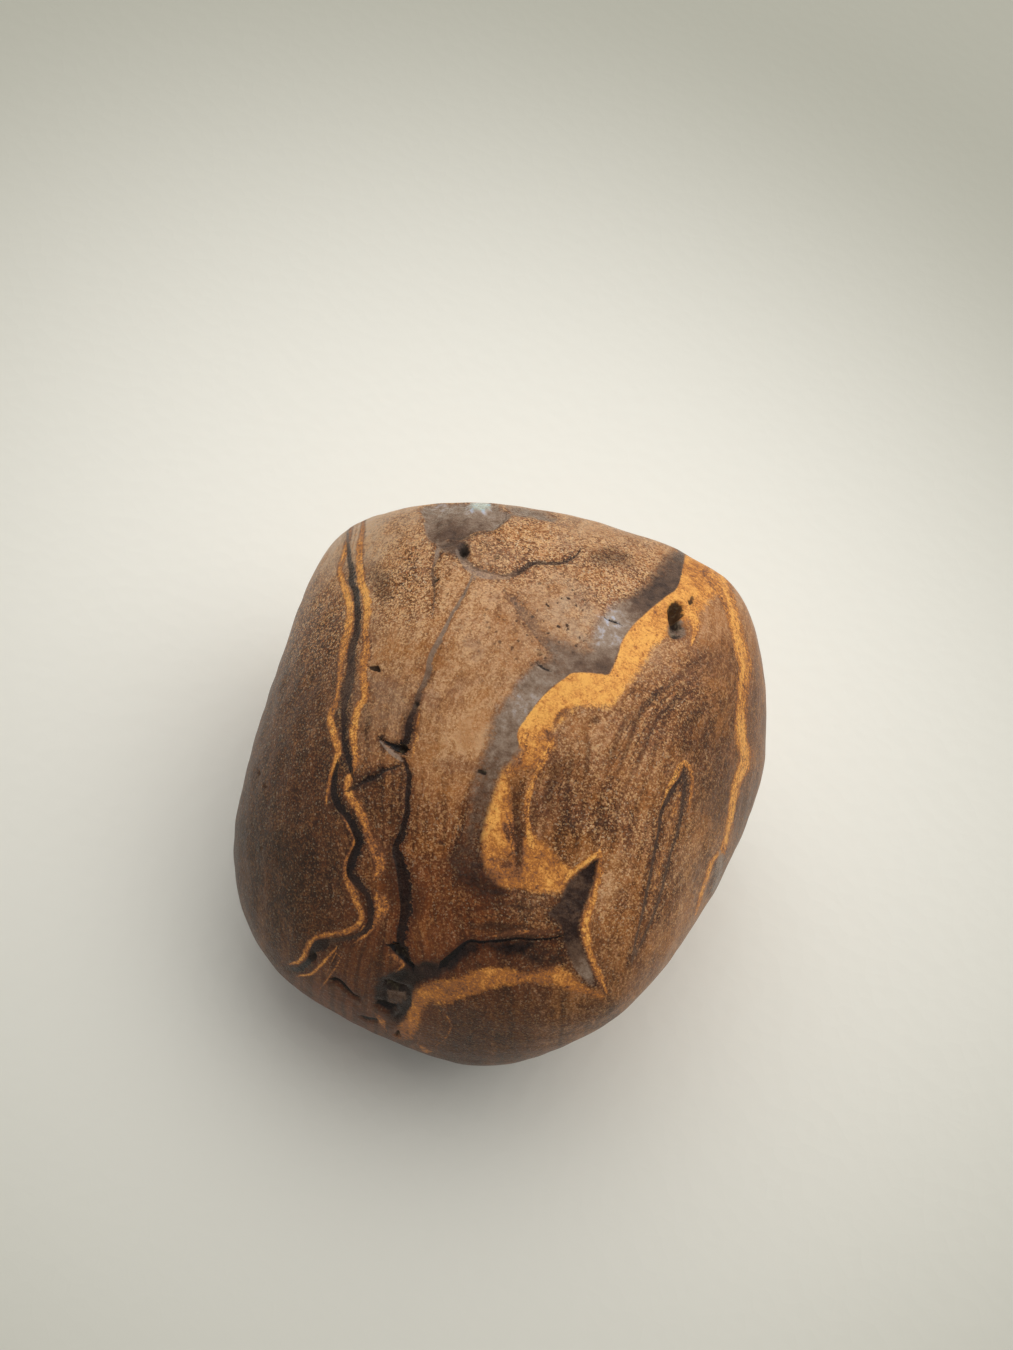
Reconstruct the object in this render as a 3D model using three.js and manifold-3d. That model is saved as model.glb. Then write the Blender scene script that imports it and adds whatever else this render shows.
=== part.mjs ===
// A tumbled pebble of boulder opal matrix: one solid ironstone, worn to a rounded block with soft
// facets, a flat patch that it rests on and a few open pits. Millimetres, +Z up, origin at the
// bottom centre of its box.
import * as THREE from 'three';
import { mergeVertices } from 'three/addons/utils/BufferGeometryUtils.js';
import Module from 'manifold-3d';

// The worn faces of the pebble. Azimuth and elevation, in degrees, are where a face looks (azimuth 0
// is +X and 90 is +Y), and reach is its distance from the middle of the stone, in mm.
const FACETS = [
  { name: 'base', azimuth: 0, elevation: -90, reach: 13.0 },
  { name: 'face', azimuth: 268, elevation: 60, reach: 13.5 },
  { name: 'crown', azimuth: 85, elevation: 78, reach: 15.5 },
  { name: 'left shoulder', azimuth: 190, elevation: 38, reach: 15.5 },
  { name: 'right shoulder', azimuth: 350, elevation: 35, reach: 16.0 },
  { name: 'left cheek', azimuth: 222, elevation: 20, reach: 18.0 },
  { name: 'chin', azimuth: 275, elevation: 8, reach: 18.0 },
  { name: 'left wall', azimuth: 185, elevation: -3, reach: 17.0 },
  { name: 'back left', azimuth: 122, elevation: 28, reach: 20.0 },
  { name: 'back shoulder', azimuth: 100, elevation: 34, reach: 20.5 },
  { name: 'back right', azimuth: 78, elevation: 34, reach: 23.0 },
  { name: 'right back', azimuth: 28, elevation: 18, reach: 19.5 },
  { name: 'right wall', azimuth: 0, elevation: 0, reach: 18.0 },
  { name: 'right front', azimuth: 345, elevation: -10, reach: 16.5 },
  { name: 'right corner', azimuth: 322, elevation: -22, reach: 17.5 },
  { name: 'front foot', azimuth: 264, elevation: -34, reach: 18.5 },
  { name: 'front left', azimuth: 224, elevation: -25, reach: 20.0 },
  { name: 'back wall', azimuth: 90, elevation: -10, reach: 16.5 },
  { name: 'left foot', azimuth: 180, elevation: -48, reach: 17.0 },
  { name: 'right foot', azimuth: 0, elevation: -48, reach: 17.0 },
  { name: 'back foot', azimuth: 90, elevation: -50, reach: 17.0 },
];
const SHARPNESS = 0.6; // per mm: how crisply one worn face turns into the next
const REST_CUT = 12.8; // from the middle of the stone down to the flat patch that it rests on

// Open pits: where each one lies, as seen from the middle of the stone, how long, wide and deep it
// is in mm, and how far its long side is turned about the way out of the stone, in degrees.
const PITS = [
  { name: 'round pit', azimuth: 54, elevation: 52.5, length: 1.5, width: 1.1, depth: 0.7, turn: 20 },
  { name: 'crown pit', azimuth: 138, elevation: 52, length: 1.0, width: 0.6, depth: 0.5, turn: 15 },
  { name: 'square vug', azimuth: 265.5, elevation: 5.5, length: 1.5, width: 1.2, depth: 0.6, turn: 0 },
  { name: 'fork pit', azimuth: 224, elevation: 47.5, length: 1.3, width: 0.6, depth: 0.4, turn: 70 },
  { name: 'slit pit', azimuth: 193, elevation: 47, length: 0.9, width: 0.4, depth: 0.35, turn: 75 },
  { name: 'back pit', azimuth: 70, elevation: -12, length: 1.4, width: 0.8, depth: 0.5, turn: 60 },
];

const SPHERE_DETAIL = 15; // splits of each icosahedron edge
const SOLVER_START = 40; // mm, outside every face
const SOLVER_STEPS = 30;
const PIT_SEGMENTS = 14;
const CUT_BLOCK = 80; // mm, wider than the stone
const MERGE_DISTANCE = 1e-5; // mm

const STONE_COLOUR = 0x7d5a3c;
const STONE_ROUGHNESS = 0.45;

const UP = new THREE.Vector3(0, 0, 1);

const wasm = await Module();
wasm.setup();

/** Unit direction of an azimuth and elevation in degrees. */
function directionOf({ azimuth, elevation }) {
  const polar = THREE.MathUtils.degToRad(90 - elevation);
  const turn = THREE.MathUtils.degToRad(azimuth);
  return new THREE.Vector3(
    Math.sin(polar) * Math.cos(turn),
    Math.sin(polar) * Math.sin(turn),
    Math.cos(polar),
  );
}

const planes = FACETS.map((facet) => ({ normal: directionOf(facet), reach: facet.reach }));

/**
 * The point of the stone's surface that lies along a direction from its middle, and the way that
 * the surface looks there. The surface is where the soft maximum of all the face planes,
 * ln(sum(exp(sharpness * height))) / sharpness, is zero, and Newton's steps come down on it from
 * outside. Its normal is the faces' normals, weighed as in that sum.
 */
function surfaceAlong(direction) {
  const point = new THREE.Vector3();
  const normal = new THREE.Vector3();
  let radius = SOLVER_START;
  for (let step = 0; step < SOLVER_STEPS; step += 1) {
    let total = 0;
    point.copy(direction).multiplyScalar(radius);
    normal.set(0, 0, 0);
    for (const plane of planes) {
      const weight = Math.exp(SHARPNESS * (plane.normal.dot(point) - plane.reach));
      total += weight;
      normal.addScaledVector(plane.normal, weight);
    }
    normal.divideScalar(total);
    radius -= Math.log(total) / (SHARPNESS * normal.dot(direction));
  }
  return { point, normal: normal.normalize() };
}

/** A closed three.js geometry as a solid that can be cut. */
function solidOf(geometry) {
  geometry.deleteAttribute('normal');
  geometry.deleteAttribute('uv');
  const merged = mergeVertices(geometry, MERGE_DISTANCE);
  return new wasm.Manifold(new wasm.Mesh({
    numProp: 3,
    vertProperties: new Float32Array(merged.attributes.position.array),
    triVerts: new Uint32Array(merged.index.array),
  }));
}

/** A cut solid as a three.js geometry. */
function geometryOf(solid) {
  const mesh = solid.getMesh();
  const geometry = new THREE.BufferGeometry();
  geometry.setAttribute('position', new THREE.BufferAttribute(mesh.vertProperties, 3));
  geometry.setIndex(new THREE.BufferAttribute(mesh.triVerts, 1));
  geometry.computeVertexNormals();
  return geometry;
}

/** The worn block, before the flat patch and the pits are cut: a sphere drawn out to the surface. */
function wornBlock() {
  const sphere = new THREE.IcosahedronGeometry(1, SPHERE_DETAIL);
  const position = sphere.attributes.position;
  const direction = new THREE.Vector3();
  for (let index = 0; index < position.count; index += 1) {
    direction.fromBufferAttribute(position, index).normalize();
    const { point } = surfaceAlong(direction);
    position.setXYZ(index, point.x, point.y, point.z);
  }
  return solidOf(sphere);
}

/** The block of space below the flat patch. */
function belowRest() {
  const block = new THREE.BoxGeometry(CUT_BLOCK, CUT_BLOCK, CUT_BLOCK);
  block.translate(0, 0, -REST_CUT - CUT_BLOCK / 2);
  return solidOf(block);
}

/** An ellipsoid centred on the surface, with one axis pointing straight out of the stone. */
function pitHollow(pit) {
  const { point, normal } = surfaceAlong(directionOf(pit));
  const hollow = new THREE.SphereGeometry(1, PIT_SEGMENTS, PIT_SEGMENTS);
  hollow.scale(pit.width / 2, pit.length / 2, pit.depth);
  hollow.rotateZ(THREE.MathUtils.degToRad(pit.turn));
  hollow.applyQuaternion(new THREE.Quaternion().setFromUnitVectors(UP, normal));
  hollow.translate(point.x, point.y, point.z);
  return solidOf(hollow);
}

/** The whole stone, moved so that the origin is the bottom centre of its box. */
function stoneGeometry() {
  let solid = wornBlock().subtract(belowRest());
  for (const pit of PITS) {
    solid = solid.subtract(pitHollow(pit));
  }
  const geometry = geometryOf(solid);
  geometry.computeBoundingBox();
  const { min, max } = geometry.boundingBox;
  geometry.translate(-(min.x + max.x) / 2, -(min.y + max.y) / 2, -min.z);
  return geometry;
}

const stone = new THREE.Mesh(
  stoneGeometry(),
  new THREE.MeshStandardMaterial({ color: STONE_COLOUR, roughness: STONE_ROUGHNESS, metalness: 0 }),
);
stone.name = 'stone';

const pebble = new THREE.Group();
pebble.name = 'boulder_opal_pebble';
pebble.add(stone);

export default pebble;
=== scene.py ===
"""A tumbled pebble of boulder opal matrix, lying on a pale sheet of paper.

The stone is one closed surface. Its form is a rounded block with soft worn faces, worked out as a
formula, and its seams, bands and pits are drawn on a sheet that stands square to the line of
sight. The long seams and bands run right through the stone from there, so the flanks, the back and
the underside show them from their other side. Lengths are millimetres until a mesh is made.
"""

from __future__ import annotations

import logging
from dataclasses import dataclass, field
from enum import Enum

import bpy
import numpy as np
from mathutils import Matrix, Vector

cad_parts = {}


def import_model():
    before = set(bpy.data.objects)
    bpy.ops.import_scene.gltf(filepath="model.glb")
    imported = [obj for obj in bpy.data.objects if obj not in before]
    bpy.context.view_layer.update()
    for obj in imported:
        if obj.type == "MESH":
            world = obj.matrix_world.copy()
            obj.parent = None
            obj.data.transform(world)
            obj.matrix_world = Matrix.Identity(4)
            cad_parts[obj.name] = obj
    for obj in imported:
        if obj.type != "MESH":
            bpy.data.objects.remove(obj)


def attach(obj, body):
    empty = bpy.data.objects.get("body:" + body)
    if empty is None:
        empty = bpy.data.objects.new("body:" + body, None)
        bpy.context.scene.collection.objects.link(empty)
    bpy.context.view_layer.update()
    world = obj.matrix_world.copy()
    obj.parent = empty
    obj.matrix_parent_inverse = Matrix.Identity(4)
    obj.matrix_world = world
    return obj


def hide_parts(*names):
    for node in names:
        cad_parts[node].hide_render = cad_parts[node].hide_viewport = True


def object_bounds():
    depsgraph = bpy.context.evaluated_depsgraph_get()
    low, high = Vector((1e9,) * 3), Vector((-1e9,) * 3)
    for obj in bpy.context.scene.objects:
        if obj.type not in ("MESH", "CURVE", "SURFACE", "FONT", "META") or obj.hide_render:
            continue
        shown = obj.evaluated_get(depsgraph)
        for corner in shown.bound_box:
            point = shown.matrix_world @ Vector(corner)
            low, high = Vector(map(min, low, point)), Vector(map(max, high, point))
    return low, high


Array = np.ndarray
Path = tuple[tuple[float, float], ...]
Colour = tuple[float, float, float]
Ramp = tuple[tuple[float, Colour], ...]  # rising places, each with its colour
Socket = bpy.types.NodeSocket
Number = "Value | float"
Setting = "Value | float | tuple[float, ...]"

METRE = 0.001  # metres in a millimetre
NODE = "stone"
BODY = "root"
FAR = 3.0  # mm: a distance at which a mark no longer matters
CRISP = 0.05  # mm: half the width of a crisp edge
LOG = logging.getLogger("pebble")


# ---- the worn form


@dataclass(frozen=True)
class WornFace:
    """One worn face: where it looks, in degrees, and how far it is from the middle, in mm."""

    name: str
    azimuth: float
    elevation: float
    reach: float


WORN_FACES = (
    WornFace("base", 0, -90, 13.0),
    WornFace("face", 268, 60, 13.5),
    WornFace("crown", 85, 78, 15.5),
    WornFace("left shoulder", 190, 38, 15.5),
    WornFace("right shoulder", 350, 35, 16.0),
    WornFace("left cheek", 222, 20, 18.0),
    WornFace("chin", 275, 8, 18.0),
    WornFace("left wall", 185, -3, 17.0),
    WornFace("back left", 122, 28, 20.0),
    WornFace("back shoulder", 100, 34, 20.5),
    WornFace("back right", 78, 34, 23.0),
    WornFace("right back", 28, 18, 19.5),
    WornFace("right wall", 0, 0, 18.0),
    WornFace("right front", 345, -10, 16.5),
    WornFace("right corner", 322, -22, 17.5),
    WornFace("front foot", 264, -34, 18.5),
    WornFace("front left", 224, -25, 20.0),
    WornFace("back wall", 90, -10, 16.5),
    WornFace("left foot", 180, -48, 17.0),
    WornFace("right foot", 0, -48, 17.0),
    WornFace("back foot", 90, -50, 17.0),
)


def directions_of(azimuths: Array, elevations: Array) -> Array:
    """Unit rows (x, y, z) of azimuths from +X towards +Y and elevations, all in degrees."""
    turn, lift = np.radians(azimuths), np.radians(elevations)
    return np.stack([np.cos(turn) * np.cos(lift), np.sin(turn) * np.cos(lift), np.sin(lift)], axis=-1)


def smooth_step(values: Array, low: float, high: float) -> Array:
    """Runs from 0 at low to 1 at high as 3t^2 - 2t^3, and stays flat outside."""
    t = np.clip((values - low) / (high - low), 0.0, 1.0)
    return t * t * (3.0 - 2.0 * t)


@dataclass(frozen=True)
class WornBlock:
    """The stone's form before any mark is cut into it."""

    faces: tuple[WornFace, ...] = WORN_FACES
    sharpness: float = 0.6  # per mm: how crisply one face turns into the next
    rest_cut: float = 12.8  # mm from the middle down to the patch it rests on
    rest_sharpness: float = 18.0  # per mm: how crisply that patch begins
    solver_start: float = 40.0  # mm: outside the form in every direction
    solver_steps: int = 30

    def surface(self, directions: Array) -> tuple[Array, Array]:
        """Points and outward normals of the form along directions from its middle.

        The surface is where the soft maximum of the face planes, ln(sum(exp(k * height))) / k, is
        zero. Newton's steps come down on it from outside along each direction, and its normal is
        the sum of the faces' normals, weighed by their share in that sum. The height z then becomes
        ln(1 + exp(s * (z + cut))) / s - cut, which gives the patch it rests on a worn edge.

        Args:
            directions: unit rows.

        Returns:
            Points in mm from the middle of the stone, and unit normals.
        """
        azimuths, elevations, reaches = np.array(
            [(face.azimuth, face.elevation, face.reach) for face in self.faces]
        ).T
        normals = directions_of(azimuths, elevations)
        rates = directions @ normals.T
        radius = np.full(len(directions), self.solver_start)
        for _ in range(self.solver_steps):
            heights = self.sharpness * (rates * radius[:, None] - reaches)
            top = heights.max(axis=1, keepdims=True)
            shares = np.exp(heights - top)
            total = shares.sum(axis=1)
            value = (top[:, 0] + np.log(total)) / self.sharpness
            radius -= value / ((shares * rates).sum(axis=1) / total)
        outward = shares @ normals
        outward /= np.linalg.norm(outward, axis=1, keepdims=True)
        points = directions * radius[:, None]
        above = self.rest_sharpness * (points[:, 2] + self.rest_cut)
        points[:, 2] = np.logaddexp(0.0, above) / self.rest_sharpness - self.rest_cut
        return points, outward


def crowded_sphere(splits: int, towards: Array, crowding: float) -> tuple[Array, Array]:
    """A closed sphere of squares, finer on one side.

    A cube's faces are each split into a grid of splits by splits squares, at tangents of even
    angles, and thrown out onto a unit sphere. Adding crowding times the favoured direction before
    they are made unit again draws the grid together on that side.

    Args:
        splits: squares along each edge of the cube.
        towards: the favoured unit direction.
        crowding: 0 for an even grid, up to about 0.5.

    Returns:
        Unit directions, and rows of four indices, counter-clockwise from outside.
    """
    steps = np.arange(splits + 1)
    first, second = np.meshgrid(steps, steps, indexing="ij")
    lattice, windings = [], []
    for axis in range(3):
        for end in (0, splits):
            grid = np.zeros((splits + 1, splits + 1, 3), dtype=int)
            grid[..., axis] = end
            grid[..., (axis + 1) % 3] = first
            grid[..., (axis + 2) % 3] = second
            lattice.append(grid)
            windings.append(end == splits)
    corners, index = np.unique(np.stack(lattice).reshape(-1, 3), axis=0, return_inverse=True)
    index = index.reshape(6, splits + 1, splits + 1)
    quads = []
    for sheet, outward in zip(index, windings):
        ring = [sheet[:-1, :-1], sheet[1:, :-1], sheet[1:, 1:], sheet[:-1, 1:]]
        quads.append(np.stack(ring if outward else ring[::-1], axis=-1).reshape(-1, 4))
    cube = np.tan((2.0 * corners / splits - 1.0) * np.pi / 4.0)
    cube /= np.linalg.norm(cube, axis=1, keepdims=True)
    cube += crowding * towards
    return cube / np.linalg.norm(cube, axis=1, keepdims=True), np.concatenate(quads)


@dataclass(frozen=True)
class RoughField:
    """A smooth random field: a sum of waves of one length that run in seeded directions."""

    seed: int
    wavelength: float
    waves: int = 14

    def at(self, points: Array) -> Array:
        """The field's value at points: the sum of sin(k.p + phase) over sqrt(2n), for n waves.

        Args:
            points: rows (x, y, z) in mm.

        Returns:
            One number for each point, nearly always from -1 to 1.
        """
        dice = np.random.default_rng(self.seed)
        ways = dice.normal(size=(self.waves, points.shape[1]))
        ways /= np.linalg.norm(ways, axis=1, keepdims=True)
        ways *= 2.0 * np.pi / self.wavelength * dice.uniform(0.7, 1.4, size=(self.waves, 1))
        phases = dice.uniform(0.0, 2.0 * np.pi, self.waves)
        return np.sin(points @ ways.T + phases).sum(axis=1) / np.sqrt(2.0 * self.waves)


# ---- the drawing sheet


@dataclass(frozen=True)
class Sheet:
    """The sheet that the marks are drawn on, and the eye that looks at it.

    The sheet passes through the middle of the stone and is square to the gaze. A point of the
    stone is drawn where the straight line to it from the eye meets the sheet.
    """

    elevation: float = 56.0  # degrees: how far the eye stands above the horizon
    roll: float = 22.0  # degrees: how far the view is turned about the gaze
    distance: float = 140.0  # mm from the eye to the sheet
    foot: tuple[float, float] = (0.43, 7.33)  # mm: where the middle of the view meets the sheet

    @property
    def back(self) -> Array:
        """Unit direction from the stone back to the eye."""
        lift = np.radians(self.elevation)
        return np.array([0.0, -np.cos(lift), np.sin(lift)])

    @property
    def right(self) -> Array:
        """Unit direction to the right on the sheet."""
        lift, turn = np.radians(self.elevation), np.radians(self.roll)
        upright = np.array([0.0, np.sin(lift), np.cos(lift)])
        return np.cos(turn) * np.array([1.0, 0.0, 0.0]) + np.sin(turn) * upright

    @property
    def up(self) -> Array:
        """Unit direction upwards on the sheet."""
        return np.cross(self.back, self.right)

    @property
    def eye(self) -> Array:
        """The eye's place, in mm from the middle of the stone."""
        return self.distance * self.back + self.foot[0] * self.right + self.foot[1] * self.up

    def draw(self, points: Array) -> Array:
        """Where points are drawn: foot + distance * (sideways / depth), both seen from the eye.

        Args:
            points: rows (x, y, z) in mm from the middle of the stone.

        Returns:
            Rows (x, y) in mm, right and up on the sheet.
        """
        ways = points - self.eye
        depth = -(ways @ self.back)
        across = np.stack([ways @ self.right, ways @ self.up], axis=-1)
        return np.array(self.foot) + self.distance * across / depth[:, None]

    def facing(self, points: Array, normals: Array) -> Array:
        """How squarely a surface looks at the eye.

        Args:
            points: rows (x, y, z) in mm from the middle of the stone.
            normals: the surface's unit normal at each point.

        Returns:
            1 straight at the eye, 0 at the rim and -1 away, for each point.
        """
        ways = self.eye - points
        ways /= np.linalg.norm(ways, axis=1, keepdims=True)
        return (ways * normals).sum(axis=1)


# ---- kinds of mark

# The sheet is finely ruled. A mark's places and widths are read off the ruling, in steps that are
# counted to the right and down from the sheet's corner, and ruled() turns them into millimetres.
STEPS = 15.0  # to a millimetre
MIDDLE = (500.0, 785.0)  # steps to the middle of the stone


class Reach(Enum):
    """How far a mark runs into the stone."""

    THROUGH = "right through, so the far side shows it too"
    SKIN = "only in the skin of the drawn face"
    BEHIND = "only on the far side"


@dataclass(frozen=True)
class Seam:
    """A thin seam or crack: a line on the sheet, with a width and a tone that change along it."""

    name: str
    path: Path  # steps
    widths: tuple[float, ...]  # steps, spread evenly along the path
    tones: tuple[float, ...]  # 0 to 1, spread evenly along the path
    reach: Reach = Reach.THROUGH
    cover: float = 1.0  # how much of what is under it is hidden
    groove: float = 0.05  # mm deep


@dataclass(frozen=True)
class Patch:
    """An area of one mineral.

    Its edge is soft, apart from its front, which is crisp. Where it has fade distances, its colour
    is full along the front and fades away from it, from the first to the second, and glows are
    places where it stays full.
    """

    name: str
    outline: Path  # steps
    tones: tuple[tuple[float, float, float, float], ...]  # (x, y, tone, cover), x and y in steps
    reach: Reach = Reach.THROUGH
    soft: float = 0.2  # mm: half the width of its soft edge
    front: Path = ()  # steps
    fade: tuple[float, float] | None = None  # mm
    glows: tuple[tuple[float, float, float], ...] = ()  # (x, y, radius), in steps
    sink: float = 0.03  # mm: how far it lies under the ground about it


@dataclass(frozen=True)
class Zone:
    """The ground colour of the stone about one place on the sheet."""

    name: str
    place: tuple[float, float]  # steps
    radius: float  # steps
    light: float  # 0 dark umber, 1 pale tan
    rust: float = 0.0
    grey: float = 0.0
    # glitter also sets how much painted sparkle the grains carry
    glitter: float = 0.3  # how coarse and golden the grain is
    layering: float = 0.3  # how strongly it is streaked along its layers
    # pores: how many pinholes of painted shade the ground shows
    pores: float = 0.0  # how thick it is with pinholes


@dataclass(frozen=True)
class Pit:
    """An open pit: an ellipse on the sheet."""

    name: str
    place: tuple[float, float]  # steps
    length: float  # steps
    width: float  # steps
    depth: float  # mm
    turn: float = 0.0  # degrees from upright
    reach: Reach = Reach.SKIN


@dataclass(frozen=True)
class Guide:
    """A line of even depth through the layered stone."""

    name: str
    layer: float  # the number of its layer
    path: Path  # steps


def shade_line(name: str, path: Path, widths: tuple[float, ...], tone: float) -> Seam:
    """A soft line of shade in the skin, which fades out at both ends."""
    return Seam(name, path, widths, (0.0, tone, tone, 0.0), Reach.SKIN)


# ---- the drawn marks

# Dark iron seams and cracks: tone 0 is near black, 1 is blue grey.
DARK_SEAMS = (
    Seam("vein a", ((346, 505), (348, 552), (351, 571), (350, 580), (354, 590), (357, 612), (356, 632),
        (352, 643), (350, 655), (350, 670), (345, 700), (343, 735), (345, 748), (353, 777)), (1, 2, 4, 7,
        6, 7, 7, 8, 9, 6, 5, 6, 3), (0.8, 0.65, 0.35, 0.1, 0.05, 0.15, 0.35, 0.4, 0.45, 0.35, 0.2, 0.1,
        0.1), cover=0.9, groove=0.06),
    Seam("vein b", ((337, 762), (333, 782), (337, 803), (350, 820), (357, 836), (358, 845), (354, 853),
        (350, 870), (353, 878), (366, 892), (369, 900), (370, 920), (367, 928), (360, 934), (350, 938),
        (326, 943)), (3, 6, 8, 7, 7, 8, 9, 8, 7, 6, 6, 5, 4, 6), (0.1, 0.1, 0.1, 0.1, 0.1, 0.3, 0.3, 0.4,
        0.5), cover=0.95, groove=0.08),
    Seam("vein b foot", ((326, 943), (318, 945), (313, 950), (311, 957), (307, 964), (300, 969),
        (292, 970), (284, 968)), (8, 11, 7, 7, 7, 4, 2), (0.3, 0.2, 0.1, 0.2, 0.5), Reach.SKIN),
    Seam("vein c crack", ((475, 569), (472, 575), (470, 581), (458, 603), (452, 612), (441, 635),
        (430, 658), (428, 670), (424, 682), (419, 692), (415, 708), (411, 716), (408, 726), (408, 734),
        (406, 741)), (2, 2, 3, 3, 4.5, 6, 6, 4.5, 6, 7, 8), (0.75, 0.8, 0.8, 0.82, 0.8,
        0.75, 0.65, 0.5, 0.25, 0.08), cover=0.92, groove=0.06),
    Seam("vein c", ((402, 757), (408, 770), (409, 778), (407, 798), (407, 810), (402, 832), (396, 850),
        (401, 866), (406, 903), (401, 936), (406, 956), (411, 964)), (2, 5, 6, 5, 6, 7, 8, 9, 11, 13, 13,
        11, 9, 10, 8, 6), (0.2, 0.1, 0.1, 0.1, 0.1, 0.1, 0.05), cover=0.92, groove=0.08),
    Seam("fork tail", ((380, 738), (385, 741), (397, 747), (404, 748)), (1.5, 3, 5, 9, 7), (0,),
        Reach.SKIN, groove=0.2),
    Seam("branch", ((348, 790), (356, 786), (363, 781), (371, 778), (378, 774), (384, 769), (393, 767),
        (400, 764)), (3, 3, 3.5, 6, 4, 5, 3, 2), (0.25, 0.1, 0.05, 0.2), Reach.SKIN, cover=0.85,
        groove=0.06),
    Seam("hair c1", ((436, 538), (438, 547), (433, 565), (432, 575), (434, 592), (432, 614)), (3, 5, 3, 3,
        2.5, 1.5, 1), (0.8, 0.9, 0.6, 0.5, 0.7, 0.8), Reach.SKIN, cover=0.8, groove=0.08),
    Seam("crown crack", ((463, 556), (475, 568), (492, 573), (512, 573), (526, 566), (535, 562),
        (556, 562), (566, 560), (574, 556), (580, 550)), (5, 5, 5, 4, 5, 6.5, 4, 4, 4, 3, 2), (0.7, 0.7,
        0.7, 0.63, 0.56, 0.2, 0.2, 0.28, 0.2, 0.28), Reach.SKIN, cover=0.8, groove=0.1),
    Seam("needle left", ((684, 768), (682, 776), (671, 793), (662, 812), (658, 838), (641, 922),
        (637, 936), (632, 962)), (2, 5, 4, 3.4, 3, 2.8, 2.8, 2.6, 2.6, 2), (0.36, 0.4, 0.44, 0.46, 0.5,
        0.55, 0.6), Reach.SKIN, cover=0.95, groove=0.02),
    Seam("needle right", ((684, 768), (684, 777), (685, 786), (680, 825), (671, 855), (668, 870),
        (660, 898), (650, 925), (636, 954)), (2, 4.4, 3.6, 3.2, 3, 2.8, 2.8, 2.6, 2.6, 2), (0.4, 0.44, 0.48,
        0.5, 0.54, 0.6), Reach.SKIN, cover=0.9, groove=0.02),
    Seam("lower line", ((562, 935), (552, 938), (530, 939), (518, 938), (505, 940), (482, 942),
        (468, 942), (450, 958), (443, 964)), (1.5, 2, 2, 2.5, 3, 3, 2.5, 5, 7, 8), (0.05,), Reach.SKIN,
        groove=0.1),
    Seam("glint crack", ((606, 617), (611, 619), (616, 621), (620, 623)), (1, 2.5, 2.5, 1), (0,),
        Reach.SKIN, groove=0.1),
    Seam("band crack", ((538, 664), (543, 667), (549, 670)), (1, 2.5, 1), (0.15,), Reach.SKIN, groove=0.1),
    Seam("foot crack 1", ((333, 980), (340, 983), (352, 995), (359, 998)), (3, 3, 3, 1.5), (0,),
        Reach.SKIN, groove=0.25),
    Seam("foot crack 2", ((360, 1017), (367, 1020), (376, 1021)), (2, 3, 1.5), (0.05,), Reach.SKIN,
        groove=0.2),
    Seam("foot crack 3", ((378, 1003), (384, 1008), (391, 1011)), (3, 4, 2), (0,), Reach.SKIN, groove=0.2),
    Seam("right dark", ((720, 850), (721, 858), (717, 880), (712, 892)), (2, 7, 6, 5, 2), (0.9, 0.8, 0.6,
        0.6), Reach.SKIN, cover=0.6, groove=0.02),
    # painted highlight: a pale line along the ridge beside the fork tail, with no groove under it
    Seam("fork ridge painted highlight", ((380, 741), (387, 748), (394, 754), (402, 760)), (2, 4, 5, 3), (0.95, 1, 0.9),
        Reach.SKIN, cover=0.6, groove=0),
    Seam("crown ridge", ((457, 551), (463, 562), (471, 570), (482, 574), (510, 577)), (4, 5, 7, 8, 6, 3),
        (0.9, 1, 0.95, 0.85), Reach.SKIN, cover=0.5, groove=0),
    Seam("porous fold", ((512, 598), (524, 612), (546, 642), (560, 652), (576, 658)), (5, 9, 10, 9, 10,
        6), (0.72, 0.7, 0.75, 0.8), Reach.SKIN, cover=0.38, groove=0.03),
    Seam("vug ring", ((402, 988), (408, 996), (408, 1006), (403, 1014), (397, 1019)), (3, 4, 5, 4, 3),
        (0.28,), Reach.SKIN, groove=0.2),
    Seam("vug left", ((385, 984), (383, 992), (384, 1001)), (3, 3, 2), (0.2,), Reach.SKIN, groove=0.2),
    Seam("vug foot", ((377, 1005), (383, 1007), (389, 1010), (394, 1009)), (3, 6, 6, 3), (0.05,),
        Reach.SKIN, groove=0.3),
    Seam("black wedge", ((390, 946), (397, 949), (403, 955), (411, 967)), (4, 11, 11, 8, 5), (0,),
        Reach.SKIN, groove=0.3),
    Seam("crust lip", ((437, 545), (450, 543), (460, 538), (490, 528), (500, 522), (506, 514)), (3, 4, 3,
        2, 2, 3, 2), (0.3, 0.3, 0.5, 0.6, 0.5), Reach.SKIN, cover=0.5, groove=0.08),
)

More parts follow.
